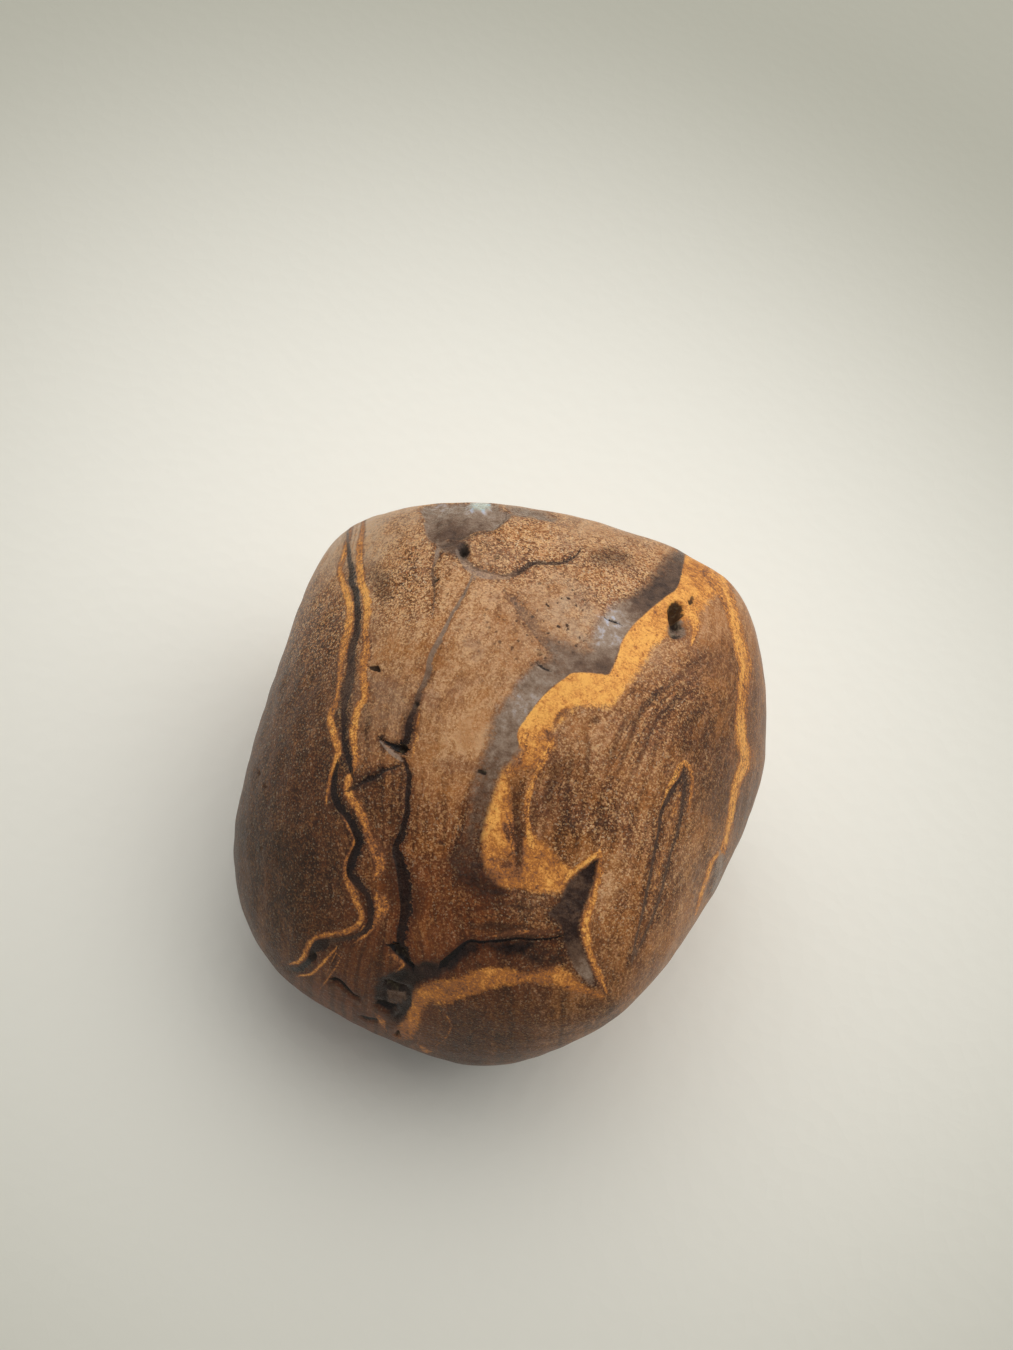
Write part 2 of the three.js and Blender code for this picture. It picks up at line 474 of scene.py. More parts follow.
# Ochre seams: tone 0 is clear ochre, 1 is dull rust.
OCHRE_SEAMS = (
    Seam("a left", ((352, 500), (350, 530), (342, 560), (340, 575), (347, 596), (350, 618), (342, 650),
        (340, 662), (339, 680), (336, 700), (332, 712), (331, 722), (337, 746), (337, 757), (330, 776),
        (326, 800)), (3, 3, 5, 6, 8, 9, 9, 9, 9, 9, 6, 6, 8, 9, 8, 6, 5, 3), (0.85, 0.85, 0.8, 0.6, 0.44,
        0.34, 0.3, 0.36, 0.5, 0.7, 0.74, 0.68, 0.58, 0.48, 0.5, 0.58, 0.7, 0.85), cover=0.84),
    Seam("a right", ((365, 500), (362, 530), (359, 550), (359, 565), (361, 583), (365, 592), (367, 602),
        (367, 613), (365, 633), (366, 645), (363, 670), (365, 695), (359, 707), (353, 730), (355, 752),
        (355, 763), (352, 774)), (3, 4, 6, 7, 8, 9, 9, 9, 7, 8, 11, 9, 9, 8, 8, 9, 8, 7, 4), (0.85, 0.85,
        0.8, 0.65, 0.44, 0.3, 0.28, 0.34, 0.46, 0.6, 0.68, 0.62, 0.5, 0.46, 0.45, 0.48, 0.56, 0.62, 0.68),
        cover=0.86),
    Seam("b inner", ((350, 777), (348, 784), (348, 790), (351, 797), (362, 815), (366, 825), (368, 834),
        (379, 858), (380, 868), (376, 876)), (9, 9, 9, 9, 9, 8, 9, 12, 14, 13, 7), (0.55, 0.52, 0.48, 0.5,
        0.56, 0.68, 0.7, 0.68, 0.62, 0.7), cover=0.88),
    Seam("b outer", ((338, 808), (351, 832), (354, 842), (350, 852), (345, 862), (345, 872), (355, 899),
        (360, 908), (362, 917), (357, 925), (350, 930), (340, 933), (320, 936), (313, 940), (307, 948),
        (303, 956), (298, 962), (290, 964)), (2, 3, 3, 4, 5, 5, 8, 8, 7, 7, 6, 7, 6, 7, 8, 6, 3), (0.95,
        0.9, 0.85, 0.8, 0.8, 0.78, 0.7, 0.62, 0.62, 0.68, 0.74, 0.76, 0.74, 0.62, 0.62, 0.68), cover=0.84),
    Seam("b flake", ((378, 896), (382, 904), (381, 912), (376, 920), (372, 928), (364, 936), (355, 942)),
        (9, 17, 12, 6, 5, 4, 2), (0.65, 0.6, 0.7, 0.75, 0.8), Reach.SKIN, cover=0.8),
    Seam("foot streak", ((334, 950), (316, 970), (308, 975), (298, 976)), (3, 4, 4, 4, 3, 2), (0.65, 0.6,
        0.6), Reach.SKIN, cover=0.8),
    Seam("foot streak 2", ((340, 958), (335, 968), (328, 978), (322, 986)), (3, 3, 3, 2), (0.85, 0.8),
        Reach.SKIN, cover=0.7),
    Seam("c flake", ((392, 955), (398, 959), (403, 965), (398, 970)), (5, 7, 5, 3), (0.85,), Reach.SKIN,
        cover=0.6),
    Seam("right line", ((716, 572), (722, 585), (733, 615), (744, 655), (746, 668), (743, 685),
        (741, 720), (742, 738), (745, 752), (745, 762), (741, 775), (735, 790), (730, 820), (726, 838),
        (722, 851), (714, 859), (709, 872), (696, 915)), (26, 18, 14, 12, 13, 15, 14, 13, 12, 13, 14, 15,
        13, 10, 8, 7, 6, 6, 6, 5, 5, 3), (0.45, 0.36, 0.36, 0.38, 0.4, 0.46, 0.46, 0.4, 0.4, 0.42, 0.42,
        0.46, 0.5, 0.55, 0.6, 0.66), cover=0.9),
    Seam("tail right", ((600, 852), (600, 864), (595, 893), (586, 918), (585, 930), (591, 956),
        (606, 990)), (4, 7, 8, 8, 9, 9, 8, 7, 8, 10, 6), (0.6, 0.5, 0.45, 0.4, 0.35, 0.3, 0.35, 0.45,
        0.55, 0.7), Reach.SKIN),
    Seam("tail left", ((599, 852), (576, 869), (569, 875), (565, 881)), (4, 6, 6, 6, 6, 4), (0.3, 0.15,
        0.1), Reach.SKIN),
    Seam("needle halo", ((655, 850), (661, 815), (668, 790), (677, 772), (684, 762), (691, 770),
        (692, 790), (688, 812)), (3, 4, 5, 6, 8, 6, 5, 3), (0.75, 0.6, 0.5, 0.6, 0.75), Reach.SKIN,
        cover=0.6),
    Seam("needle fill", ((681, 792), (672, 822), (667, 842), (652, 902)), (5, 9, 11, 10, 8, 7, 4), (0.85,
        0.85, 0.95, 0.8, 0.85), Reach.SKIN, cover=0.4),
    Seam("swirl 1", ((441, 1013), (448, 1019), (450, 1028), (446, 1037), (438, 1044)), (2, 3, 3, 2),
        (0.8,), Reach.SKIN, cover=0.5),
    Seam("foot spot", ((421, 1046), (425, 1050), (429, 1051)), (4, 8, 4), (0.85,), Reach.SKIN, cover=0.7),
    Seam("foot spot 2", ((377, 1016), (381, 1021), (384, 1027)), (5, 9, 5), (0.75,), Reach.SKIN, cover=0.7),
    Seam("rust line", ((492, 936), (522, 931), (540, 932), (556, 930)), (2, 5, 6, 5, 2), (0.85, 0.7, 0.75),
        Reach.SKIN, cover=0.85),
    Seam("c edge", ((419, 712), (417, 727), (416, 740), (413, 754)), (3, 6, 6, 3), (0.5,), Reach.SKIN,
        cover=0.5),
    Seam("lens streak", ((552, 742), (540, 768), (533, 780), (527, 812), (532, 842)), (8, 9, 8, 9, 8, 6,
        8, 12), (0.4, 0.4, 0.5, 0.45, 0.5, 0.45, 0.3), Reach.SKIN, cover=0.66, groove=0),
    Seam("pit rim", ((684, 600), (690, 607), (694, 618), (695, 630), (692, 642)), (4, 9, 11, 8, 3), (0.3,
        0.34, 0.4), Reach.SKIN, cover=0.85, groove=0),
    Seam("lens bridge", ((522, 736), (519, 748), (514, 760), (508, 770)), (12, 16, 12, 6), (0.5, 0.6,
        0.5), Reach.SKIN, cover=0.7, groove=0),
)

# The crisp line where the ochre band meets the slate band.
CONTACT = (
    (684, 560), (679, 581), (674, 590), (664, 597), (637, 620), (622, 640), (619, 650), (612, 668),
    (608, 674), (602, 673), (575, 672), (565, 677), (543, 695), (521, 724), (517, 734), (518, 741),
)

# Areas of ochre.
OCHRE_PATCHES = (
    Patch("great band", ((684, 548), *CONTACT, (530, 741), (545, 738), (556, 724), (566, 714), (580, 706),
        (592, 706), (606, 712), (616, 702), (626, 686), (640, 668), (652, 650), (664, 640), (680, 640),
        (694, 645), (706, 640), (706, 620), (712, 600), (722, 588), (722, 570), (706, 556)),
        ((700, 575, 0.38, 1), (684, 590, 0.2, 1), (640, 635, 0.14, 1), (612, 690, 0.14, 1),
        (560, 695, 0.08, 1), (535, 712, 0.06, 1), (535, 745, 0.46, 1), (690, 610, 0.3, 1),
        (690, 625, 0.36, 1)), soft=0.35, front=CONTACT, fade=(1.1, 2.9), glows=((702, 575, 26),
        (686, 592, 14), (724, 590, 12), (600, 690, 12))),
    Patch("second lens", ((502, 767), (487, 812), (482, 845), (486, 873), (494, 883), (503, 887),
        (515, 888), (524, 888), (526, 870), (525, 850), (521, 834), (514, 820), (508, 785)),
        ((500, 785, 0.22, 1), (497, 812, 0.14, 1), (504, 800, 0.22, 1), (492, 830, 0.12, 1),
        (494, 840, 0.28, 0.9), (488, 862, 0.65, 0.6), (500, 878, 0.75, 0.5), (505, 886, 0.4, 0.8),
        (515, 860, 0.7, 0.4), (520, 880, 0.6, 0.5), (512, 830, 0.6, 0.5), (514, 800, 0.7, 0.35)), soft=0.2),
    Patch("lower band", ((395, 1034), (399, 1026), (404, 1020), (411, 1003), (413, 995), (419, 988),
        (430, 983), (450, 980), (461, 977), (484, 968), (508, 968), (528, 974), (536, 971), (558, 968),
        (566, 970), (581, 984), (592, 990), (604, 993), (603, 998), (590, 995), (564, 987), (552, 984),
        (528, 982), (516, 984), (505, 984), (492, 987), (466, 997), (447, 1003), (438, 1004), (430, 1002),
        (424, 1008), (416, 1030), (410, 1038), (402, 1040)), ((412, 1005, 0.58, 1), (412, 1024, 0.5, 0.8),
        (425, 1035, 0.75, 0.7), (440, 992, 0.66, 1), (470, 985, 0.58, 1), (505, 975, 0.42, 1),
        (530, 976, 0.72, 0.6), (560, 976, 0.42, 1), (590, 990, 0.6, 0.9), (400, 1035, 0.85, 0.6)),
        soft=0.22),
    Patch("lens block", ((522, 838), (532, 839), (543, 843), (562, 862), (569, 868), (566, 880),
        (563, 890), (545, 891), (524, 889), (521, 875)), ((530, 846, 0.5, 0.9), (545, 872, 0.42, 1),
        (560, 880, 0.4, 1), (530, 880, 0.44, 1), (552, 856, 0.55, 0.7)), Reach.SKIN, soft=0.25),
    Patch("band bridge", ((520, 738), (534, 736), (548, 736), (553, 744), (546, 755), (536, 765),
        (524, 772), (512, 774), (505, 770), (512, 760)), ((530, 745, 0.4, 0.8), (515, 762, 0.6, 0.5),
        (540, 745, 0.4, 0.6)), Reach.SKIN, soft=0.4),
)

# Areas of dark iron and blue-grey silica.
DARK_PATCHES = (
    Patch("slate band", ((668, 556), (640, 589), (619, 602), (609, 609), (600, 619), (594, 630),
        (590, 642), (591, 650), (578, 649), (565, 644), (552, 637), (544, 640), (548, 650), (553, 657),
        (546, 662), (536, 664), (524, 676), (513, 692), (501, 706), (493, 720), (488, 735), (486, 750),
        (480, 762), (475, 776), (468, 808), (466, 822), (462, 836), (455, 846), (453, 858), (458, 868),
        (464, 880), (472, 890), (486, 897), (500, 896), (506, 888), (498, 882), (488, 870), (482, 858),
        (481, 844), (484, 825), (497, 780), (502, 767), (513, 762), (518, 750), *CONTACT[::-1],
        (684, 548)), ((672, 566, 0.5, 0.8), (655, 586, 0.42, 1), (640, 596, 0.45, 1), (625, 608, 0.75, 1),
        (613, 615, 1, 1), (603, 640, 0.9, 1), (595, 655, 0.9, 1), (590, 662, 0.6, 0.8),
        (600, 664, 0.4, 0.9), (578, 657, 0.6, 0.75), (560, 650, 0.7, 0.6), (545, 645, 0.7, 0.3),
        (540, 680, 0.78, 0.9), (520, 700, 0.86, 0.9), (510, 725, 0.8, 0.95), (500, 742, 0.72, 0.9),
        (490, 770, 0.66, 0.75), (480, 790, 0.62, 0.65), (474, 815, 0.55, 0.55), (468, 850, 0.4, 0.4),
        (470, 880, 0.1, 0.5), (500, 892, 0.15, 0.45)), soft=0.45, sink=0.05, front=CONTACT),
    Patch("fish tail", ((597, 858), (571, 879), (566, 886), (559, 902), (551, 909), (549, 915),
        (556, 920), (561, 927), (566, 948), (574, 967), (589, 983), (594, 984), (593, 974), (580, 941),
        (578, 931), (580, 919), (593, 882), (596, 870)), ((590, 868, 0.15, 1), (574, 881, 0.5, 0.85),
        (572, 895, 0.32, 1), (560, 915, 0.4, 0.8), (570, 930, 0.24, 1), (578, 950, 0.5, 1),
        (586, 970, 0.75, 1)), Reach.SKIN, soft=0.12),
    Patch("lens 1", ((478, 943), (522, 941), (534, 942), (532, 949), (522, 953), (508, 953), (494, 950)),
        ((490, 944, 0.12, 0.6), (512, 946, 0.08, 0.9)), Reach.SKIN, soft=0.3),
    Patch("lens 2", ((524, 949), (540, 949), (556, 951), (562, 957), (552, 962), (538, 961), (526, 956)),
        ((540, 953, 0.15, 0.5),), Reach.SKIN, soft=0.35),
    Patch("lower dark", ((374, 990), (378, 981), (386, 975), (421, 963), (434, 962), (443, 963),
        (449, 956), (467, 945), (478, 943), (486, 945), (480, 950), (468, 955), (458, 962), (450, 970),
        (440, 976), (430, 979), (420, 983), (413, 989), (407, 1011), (401, 1020), (393, 1023),
        (384, 1006), (375, 1000)), ((380, 980, 0.15, 0.8), (400, 976, 0.12, 1), (425, 970, 0.22, 1),
        (440, 968, 0.3, 1), (455, 960, 0.1, 0.9), (478, 948, 0.08, 0.7), (395, 1010, 0.22, 1)), soft=0.2,
        sink=0.12),
    Patch("crust", ((420, 509), (424, 518), (423, 528), (428, 537), (435, 541), (446, 538), (458, 538),
        (470, 532), (482, 528), (494, 527), (504, 520), (512, 512), (500, 508), (490, 500), (450, 496),
        (430, 500)), ((440, 520, 0.55, 1), (455, 533, 0.45, 1), (470, 522, 0.62, 1), (495, 514, 0.8, 1),
        (440, 506, 0.9, 1), (470, 506, 0.9, 1), (425, 516, 0.8, 1)), Reach.SKIN, soft=0.12, sink=0.3),
    Patch("crown scar", ((438, 541), (446, 539), (455, 541), (464, 541), (469, 549), (466, 557),
        (458, 556), (449, 552), (441, 549)), ((445, 546, 0.7, 0.8), (455, 549, 0.6, 0.8),
        (463, 550, 0.1, 1)), Reach.SKIN, soft=0.2, sink=0.1),
    Patch("crown opal", ((470, 499), (482, 498), (492, 502), (490, 508), (478, 509), (469, 505)),
        ((476, 504, 1.25, 0.8), (484, 502, 1.5, 1), (492, 505, 1.1, 0.7)), Reach.SKIN, soft=0.25),
    Patch("crown fleck", ((506, 506), (522, 507), (540, 511), (556, 517), (550, 520), (532, 516),
        (514, 513)), ((530, 512, 0.75, 0.8),), Reach.SKIN, soft=0.2, sink=0.1),
    Patch("vug floor", ((386, 992), (392, 991), (399, 993), (405, 994), (405, 1001), (400, 1006),
        (393, 1008), (387, 1003)), ((390, 996, 0.36, 0.5), (399, 996, 0.62, 0.85),
        (396, 1004, 0.44, 0.6)), Reach.SKIN, soft=0.12, sink=0.35),
    Patch("pit floor", ((669, 620), (680, 619), (686, 626), (684, 635), (675, 638), (668, 632)),
        ((677, 629, 0.7, 0.85),), Reach.SKIN, soft=0.15, sink=0.2),
)

# Soft dark lines in the ground, like the rings of wood.
SHADES = (
    shade_line("crown left", ((367, 560), (374, 570), (381, 584), (382, 600), (376, 612)), (9, 20, 20, 14,
        6), 0.6),
    shade_line("arc 1", ((722, 646), (712, 649), (701, 659), (690, 666), (666, 687), (655, 695),
        (645, 705), (638, 716), (624, 756), (609, 784), (602, 798)), (4, 6, 6, 6, 7, 7, 6, 6, 6, 5), 0.72),
    shade_line("arc 2", ((706, 668), (694, 678), (682, 690), (672, 702), (660, 715), (651, 730),
        (638, 762), (622, 797)), (3, 5, 6, 5, 5, 5, 5, 4), 0.6),
    shade_line("arc 3", ((712, 700), (702, 708), (690, 722), (674, 742)), (5, 8, 8, 5), 0.5),
    shade_line("arc 4", ((702, 741), (694, 744), (686, 748), (679, 756)), (7, 12, 9, 5), 0.5),
    shade_line("arc 5", ((640, 700), (628, 716), (612, 752), (600, 770)), (5, 7, 6, 5), 0.55),
    shade_line("arc 6", ((574, 704), (564, 710), (557, 718), (556, 728)), (3, 6, 6, 3), 0.7),
    shade_line("arc 7", ((540, 726), (548, 734), (556, 736)), (3, 5, 3), 0.45),
    shade_line("arc 8", ((566, 800), (568, 812), (572, 826), (576, 840)), (5, 8, 7, 4), 0.5),
    shade_line("arc 9", ((603, 798), (600, 812), (604, 826), (612, 836)), (6, 10, 8, 5), 0.5),
    shade_line("dark spot", ((592, 716), (596, 720), (598, 724)), (5, 9, 5), 0.8),
    shade_line("c upper", ((418, 692), (414, 712), (409, 735), (405, 758)), (8, 14, 16, 10), 0.6),
    shade_line("left umber", ((372, 712), (368, 722), (366, 734), (369, 744)), (4, 6, 6, 4), 0.5),
    shade_line("c halo left", ((391, 835), (389, 850), (392, 866), (395, 905), (393, 925)), (6, 10, 12,
        12, 10, 5), 0.75),
    shade_line("c halo right", ((412, 870), (418, 885), (420, 900), (416, 915), (410, 926)), (8, 14, 14,
        12, 6), 0.6),
    shade_line("crown smudge", ((580, 556), (592, 556), (606, 557), (622, 559), (640, 567)), (8, 16, 18,
        14, 8), 0.75),
    shade_line("rose wave", ((549, 744), (557, 758), (555, 775), (549, 792), (551, 806), (556, 818)), (8,
        12, 12, 10, 10, 6), 0.7),
    shade_line("rose wave 2", ((566, 738), (571, 756), (566, 798), (569, 816)), (4, 7, 6, 7, 5), 0.65),
    shade_line("rose wave 3", ((583, 722), (588, 744), (586, 768), (582, 790)), (4, 6, 5, 4), 0.6),
    shade_line("lens gap", ((518, 770), (516, 806), (519, 846), (521, 884)), (9, 12, 11, 9, 8, 8, 7), 0.7),
    shade_line("lens gap 2", ((500, 815), (505, 826), (508, 838), (506, 850)), (4, 5, 5, 3), 0.6),
    shade_line("slate foot", ((470, 832), (462, 850), (460, 868), (472, 884), (490, 892), (512, 894)),
        (14, 22, 26, 24, 18, 12), 0.6),
    shade_line("bar shadow", ((462, 922), (478, 926), (494, 925), (512, 927), (530, 927)), (4, 8, 7, 6,
        4), 0.9),
    shade_line("bar line", ((455, 916), (475, 909), (500, 905), (525, 907), (548, 905)), (4, 6, 5, 4, 3),
        0.6),
    shade_line("bar line 2", ((490, 934), (515, 935), (540, 932), (560, 928)), (4, 6, 5, 3), 0.7),
    shade_line("lens waist", ((538, 800), (534, 816), (532, 832)), (6, 8, 6), 0.35),
    shade_line("dash", ((436, 842), (441, 843), (446, 845)), (2, 4, 2), 0.8),
)

# The ground, place by place.
ZONES = (
    Zone("right slope", (700, 872), 25, light=0.4, grey=0.45),
    # the lilac ridge is partly the stone's own pale lilac grey and partly a painted sheen on the crown
    Zone("lilac ridge", (566, 603), 14, light=0.94, grey=0.95, pores=1.4),
    Zone("lilac ridge foot", (588, 634), 12, light=0.86, grey=1.1, pores=1),
    Zone("tail ground", (602, 886), 18, light=0.85, rust=0.1),
    Zone("pale streak", (468, 738), 14, light=1.05, rust=0.15, glitter=0.2),
    Zone("crown scar ground", (482, 556), 14, light=0.6, grey=0.6, glitter=0.7),
    # painted sheen: the crown's rim is paler and greyer here, as where it mirrors the bright sky at a
    # grazing angle
    Zone("crown painted sheen left", (362, 548), 45, light=1.1, grey=1.2, glitter=0.15),
    Zone("crown painted sheen right", (590, 530), 70, light=1, rust=0.1, grey=0.7, glitter=0.2, pores=0.3),
    Zone("gold crown left", (405, 580), 38, light=0.55, rust=0.12, glitter=2),
    Zone("gold crown middle", (525, 545), 34, light=0.76, rust=0.12, glitter=1.5),
    Zone("gold crown right", (600, 580), 40, light=0.74, rust=0.25, glitter=1.6, pores=0.3),
    Zone("pale crown", (455, 580), 30, light=0.95, rust=0.05, grey=0.1, glitter=0.4, pores=0.6),
    Zone("middle top", (480, 615), 45, light=0.88, rust=0.14, grey=0.12, glitter=0.2, pores=0.5),
    Zone("middle", (440, 680), 70, light=0.8, rust=0.14, glitter=0.12, layering=0.2),
    Zone("porous rise", (562, 608), 30, light=0.84, rust=0.05, grey=0.6, glitter=0.15, pores=1.6),
    Zone("porous shelf", (575, 650), 22, light=0.72, grey=0.8, glitter=0.15, pores=1.3),
    Zone("porous left", (520, 620), 30, light=0.64, rust=0.1, grey=0.4, glitter=0.2, pores=1.5),
    Zone("between seams", (388, 640), 35, light=0.84, rust=0.1, grey=0.05, layering=0.6),
    Zone("grey hollow", (385, 705), 40, light=0.5, grey=0.9, glitter=0.2),
    Zone("warm middle", (450, 760), 60, light=0.8, rust=0.25, glitter=0.15, layering=0.1),
    Zone("pale middle", (480, 700), 40, light=0.86, rust=0.14, glitter=0.15, layering=0.15),
    Zone("brown wedge", (378, 800), 40, light=0.14, rust=0.1, grey=0.1, layering=0.7),
    Zone("sand flow", (445, 830), 45, light=0.45, rust=0.3, glitter=0.4, layering=0.8),
    Zone("rust foot", (432, 930), 45, light=0.28, rust=0.6, glitter=0.15, layering=0.7),
    Zone("rust neck", (425, 885), 30, light=0.22, rust=0.6),
    Zone("left gold", (318, 625), 35, light=0.13, rust=0.15, glitter=1.4),
    # the left flank is dark partly for the ironstone's own umber and partly as painted shade, where it
    # turns from the lamp
    Zone("left umber", (300, 690), 45, light=0.04, rust=0.1, glitter=0.6, layering=0.5),
    Zone("left dark", (290, 770), 60, light=-0.04, rust=0.15, grey=0.05, glitter=0.5, layering=0.5),
    Zone("left foot", (290, 870), 70, light=0, grey=0.1),
    Zone("left cheek", (250, 860), 60, light=0.06, grey=0.2, glitter=0.15),
    Zone("foot rust", (370, 985), 45, light=0.1, rust=0.35, grey=0.1, glitter=0.15, layering=0.9),
    # the underside here is dark partly for its own umber and partly as painted shade
    Zone("heel", (480, 1035), 70, light=0.04, grey=0.1, glitter=0.15, layering=0.1),
    Zone("heel right", (580, 1020), 60, light=0.34, rust=0.05, grey=0.25, glitter=0.2, layering=0.6),
    Zone("rose field", (590, 745), 45, light=0.76, rust=0.3, grey=0.05, glitter=0.45, layering=0.5),
    Zone("rose top", (655, 655), 30, light=0.86, rust=0.2, grey=0.05, layering=0.2),
    Zone("orange pit side", (712, 614), 24, light=0.82, rust=0.35, glitter=0.2),
    Zone("gold arcs", (676, 694), 36, light=0.4, rust=0.14, glitter=0.9, layering=1),
    Zone("brown right", (712, 720), 40, light=0.3, rust=0.14, glitter=0.2, layering=0.45),
    Zone("brown brow", (714, 666), 20, light=0.4, rust=0.14, grey=0.05, glitter=0.2, layering=0.3),
    Zone("inner sand", (600, 820), 40, light=0.4, rust=0.12, grey=0.05, glitter=0.75, layering=0.8),
    Zone("umber middle", (550, 820), 30, light=0.35, rust=0.15, grey=0.1, glitter=0.4, layering=0.6),
    Zone("right flank", (728, 810), 26, light=0.24, rust=0.1, grey=0.35, glitter=0.2),
    Zone("needle ground", (680, 840), 50, light=0.72, rust=0.12, grey=0.1, glitter=0.6, layering=0.55),
    Zone("gold flank", (625, 900), 45, light=0.41, rust=0.25, glitter=0.6, layering=0.5),
    Zone("right foot", (660, 950), 50, light=0.54, rust=0.1, grey=0.25, glitter=0.15, layering=0.2),
    Zone("bar top", (532, 902), 12, light=0.36, rust=0.1, grey=0.4),
    Zone("speckled bar", (525, 915), 28, light=0.13, rust=0.2, grey=0.15, glitter=0.5, layering=0.5),
    Zone("bar left", (470, 905), 25, light=0.14, rust=0.5, glitter=0.4),
    Zone("lens ground", (510, 958), 26, light=0.08, rust=0.25, grey=0.1, glitter=0.2),
    Zone("bar foot", (475, 960), 20, light=0.1, rust=0.35, glitter=0.15),
)

# Pinholes: place, length, width, depth and turn, as a Pit has them.
PINHOLES = (
    ((490, 564), 4, 3, 0.12, 0), ((503, 566), 4, 3, 0.12, 0), ((497, 556), 6, 3, 0.14, 100),
    ((489, 590), 4, 3, 0.12, 0), ((530, 586), 4, 3, 0.12, 0), ((499, 597), 5, 3, 0.14, 60),
    ((464, 593), 5, 4, 0.15, 0), ((540, 654), 6, 4, 0.14, 90), ((265, 786), 4, 4, 0.14, 0),
    ((258, 772), 8, 3, 0.1, 0), ((262, 848), 5, 4, 0.12, 0), ((565, 627), 4, 3, 0.12, 0),
    ((560, 637), 7, 3, 0.12, 90), ((561, 617), 4, 3, 0.1, 0),
)

# Open pits.
PITS = (
    Pit("round pit", (675.5, 611), length=23, width=17, depth=0.95, turn=15),
    Pit("pit lip", (677, 627), length=18, width=15, depth=0.16, turn=10),
    Pit("small pit", (690.5, 600), length=8, width=5, depth=0.2, turn=30),
    Pit("crown pit", (464, 549), length=15, width=8, depth=0.55, turn=20),
    Pit("fork pit", (402, 748), length=10, width=9, depth=0.35, turn=60),
    Pit("slit pit", (375, 668), length=13, width=5, depth=0.35, turn=112),
    Pit("speck pit", (384, 663), length=4, width=3, depth=0.15),
    Pit("line pit", (416, 704), length=6, width=4, depth=0.2, turn=20),
    Pit("band pit", (483, 772), length=8, width=5, depth=0.25, turn=110),
    Pit("crack pit", (436, 579), length=8, width=4, depth=0.25, turn=75),
    Pit("blue pit", (520, 569), length=5, width=4, depth=0.25, turn=90),
    Pit("vug", (392, 987), length=20, width=9, depth=0.7, turn=112),
    Pit("foot pit", (397, 1034), length=7, width=5, depth=0.25, turn=40),
    Pit("notch", (313, 957), length=9, width=6, depth=0.25, turn=10),
    Pit("vug corner", (383, 1006), length=12, width=6, depth=0.3, turn=120),
    Pit("black bead", (401, 953), length=15, width=8, depth=0.35, turn=128),
    *(Pit(f"pinhole {number}", place, *sizes) for number, (place, *sizes) in enumerate(PINHOLES, 1)),
)

# Lines of even depth through the layered stone, each with its layer number.
LAYER_GUIDES = (
    Guide("left rim", -7, ((300, 575), (268, 660), (246, 750), (238, 840), (240, 930))),
    Guide("inner left", -3, ((322, 520), (308, 620), (298, 700), (292, 800), (300, 900))),
    Guide("first vein", 0, ((346, 505), (352, 560), (352, 643), (345, 735), (336, 785), (350, 840),
        (355, 880), (369, 905), (340, 940))),
    Guide("third vein", 5, ((475, 569), (445, 620), (430, 658), (408, 720), (402, 790), (398, 858),
        (403, 920), (411, 964))),
    Guide("flow", 8, ((520, 570), (492, 640), (462, 700), (448, 770), (440, 840), (440, 910), (445, 960))),
    Guide("contact", 11, ((668, 556), (619, 600), (575, 645), (524, 690), (505, 750), (488, 800),
        (474, 850), (480, 900))),
    Guide("first ring", 16, ((722, 646), (690, 666), (655, 695), (634, 728), (616, 771), (600, 805),
        (598, 850), (586, 900), (590, 960))),
    Guide("inner ring", 18.5, ((728, 690), (700, 704), (684, 735), (668, 790), (645, 860), (630, 930))),
    Guide("right line", 22, ((750, 640), (750, 700), (745, 762), (728, 830), (705, 890), (690, 930))),
)

# Marks of the far side, drawn as if seen through the stone from the front.
FAR_CRACKS = (
    Seam("far crack", ((290, 643), (343, 662), (380, 653), (431, 689), (467, 682), (506, 716)),
        (0.8, 3, 1.8, 4, 2.4, 3, 0.8), (0.1, 0.3, 0.1), Reach.BEHIND, groove=0.16),
    Seam("far crack branch", ((380, 653), (371, 692), (386, 734), (374, 773)), (2, 1.5, 2.4, 0.6),
        (0.2, 0.6), Reach.BEHIND, groove=0.1),
    Seam("far flank vein", ((296, 590), (317, 665), (307, 740), (329, 815), (317, 890), (347, 958)),
        (3, 7, 4.5, 9, 6, 7.5, 3), (0.1, 0.7, 0.3, 0.1, 0.5), Reach.BEHIND),
    Seam("under crack", ((440, 920), (485, 887), (536, 896), (587, 860), (629, 869)),
        (0.6, 2, 1.5, 3, 0.9), (0.1,), Reach.BEHIND, groove=0.14),
)
FAR_THREADS = (
    Seam("far flank edge", ((302, 590), (326, 665), (316, 740), (338, 815), (326, 890), (356, 958)),
        (4.5, 9, 7.5, 10.5, 6, 9, 3), (0.7, 0.4, 0.8, 0.5, 0.6), Reach.BEHIND),
    Seam("far flank thread", ((359, 560), (374, 643), (356, 725), (371, 808), (359, 905)),
        (1.5, 4.5, 3, 6, 1.5), (0.7, 0.5, 0.9), Reach.BEHIND, cover=0.7),
)
FAR_PITS = (
    Pit("far pit", (449, 632), 16.5, 10.5, 0.5, 40, Reach.BEHIND),
    Pit("far pit beside", (467, 614), 7.5, 4.5, 0.2, 80, Reach.BEHIND),
    Pit("flank pit", (344, 707), 12, 7, 0.35, 20, Reach.BEHIND),
    Pit("flank pit beside", (356, 719), 6, 4.5, 0.18, 0, Reach.BEHIND),
    Pit("back pit", (584, 650), 10.5, 7.5, 0.3, 120, Reach.BEHIND),
    Pit("under pit", (530, 830), 13.5, 9, 0.4, 65, Reach.BEHIND),
    Pit("under pit beside", (416, 863), 9, 6, 0.25, 10, Reach.BEHIND),
)


# ---- from marks to the stone


def ruled(places: Path) -> Array:
    """Places in mm from the middle of the stone, right and up, of places read off the ruling."""
    return (np.array(places, dtype=float) - MIDDLE) * (1.0, -1.0) / STEPS


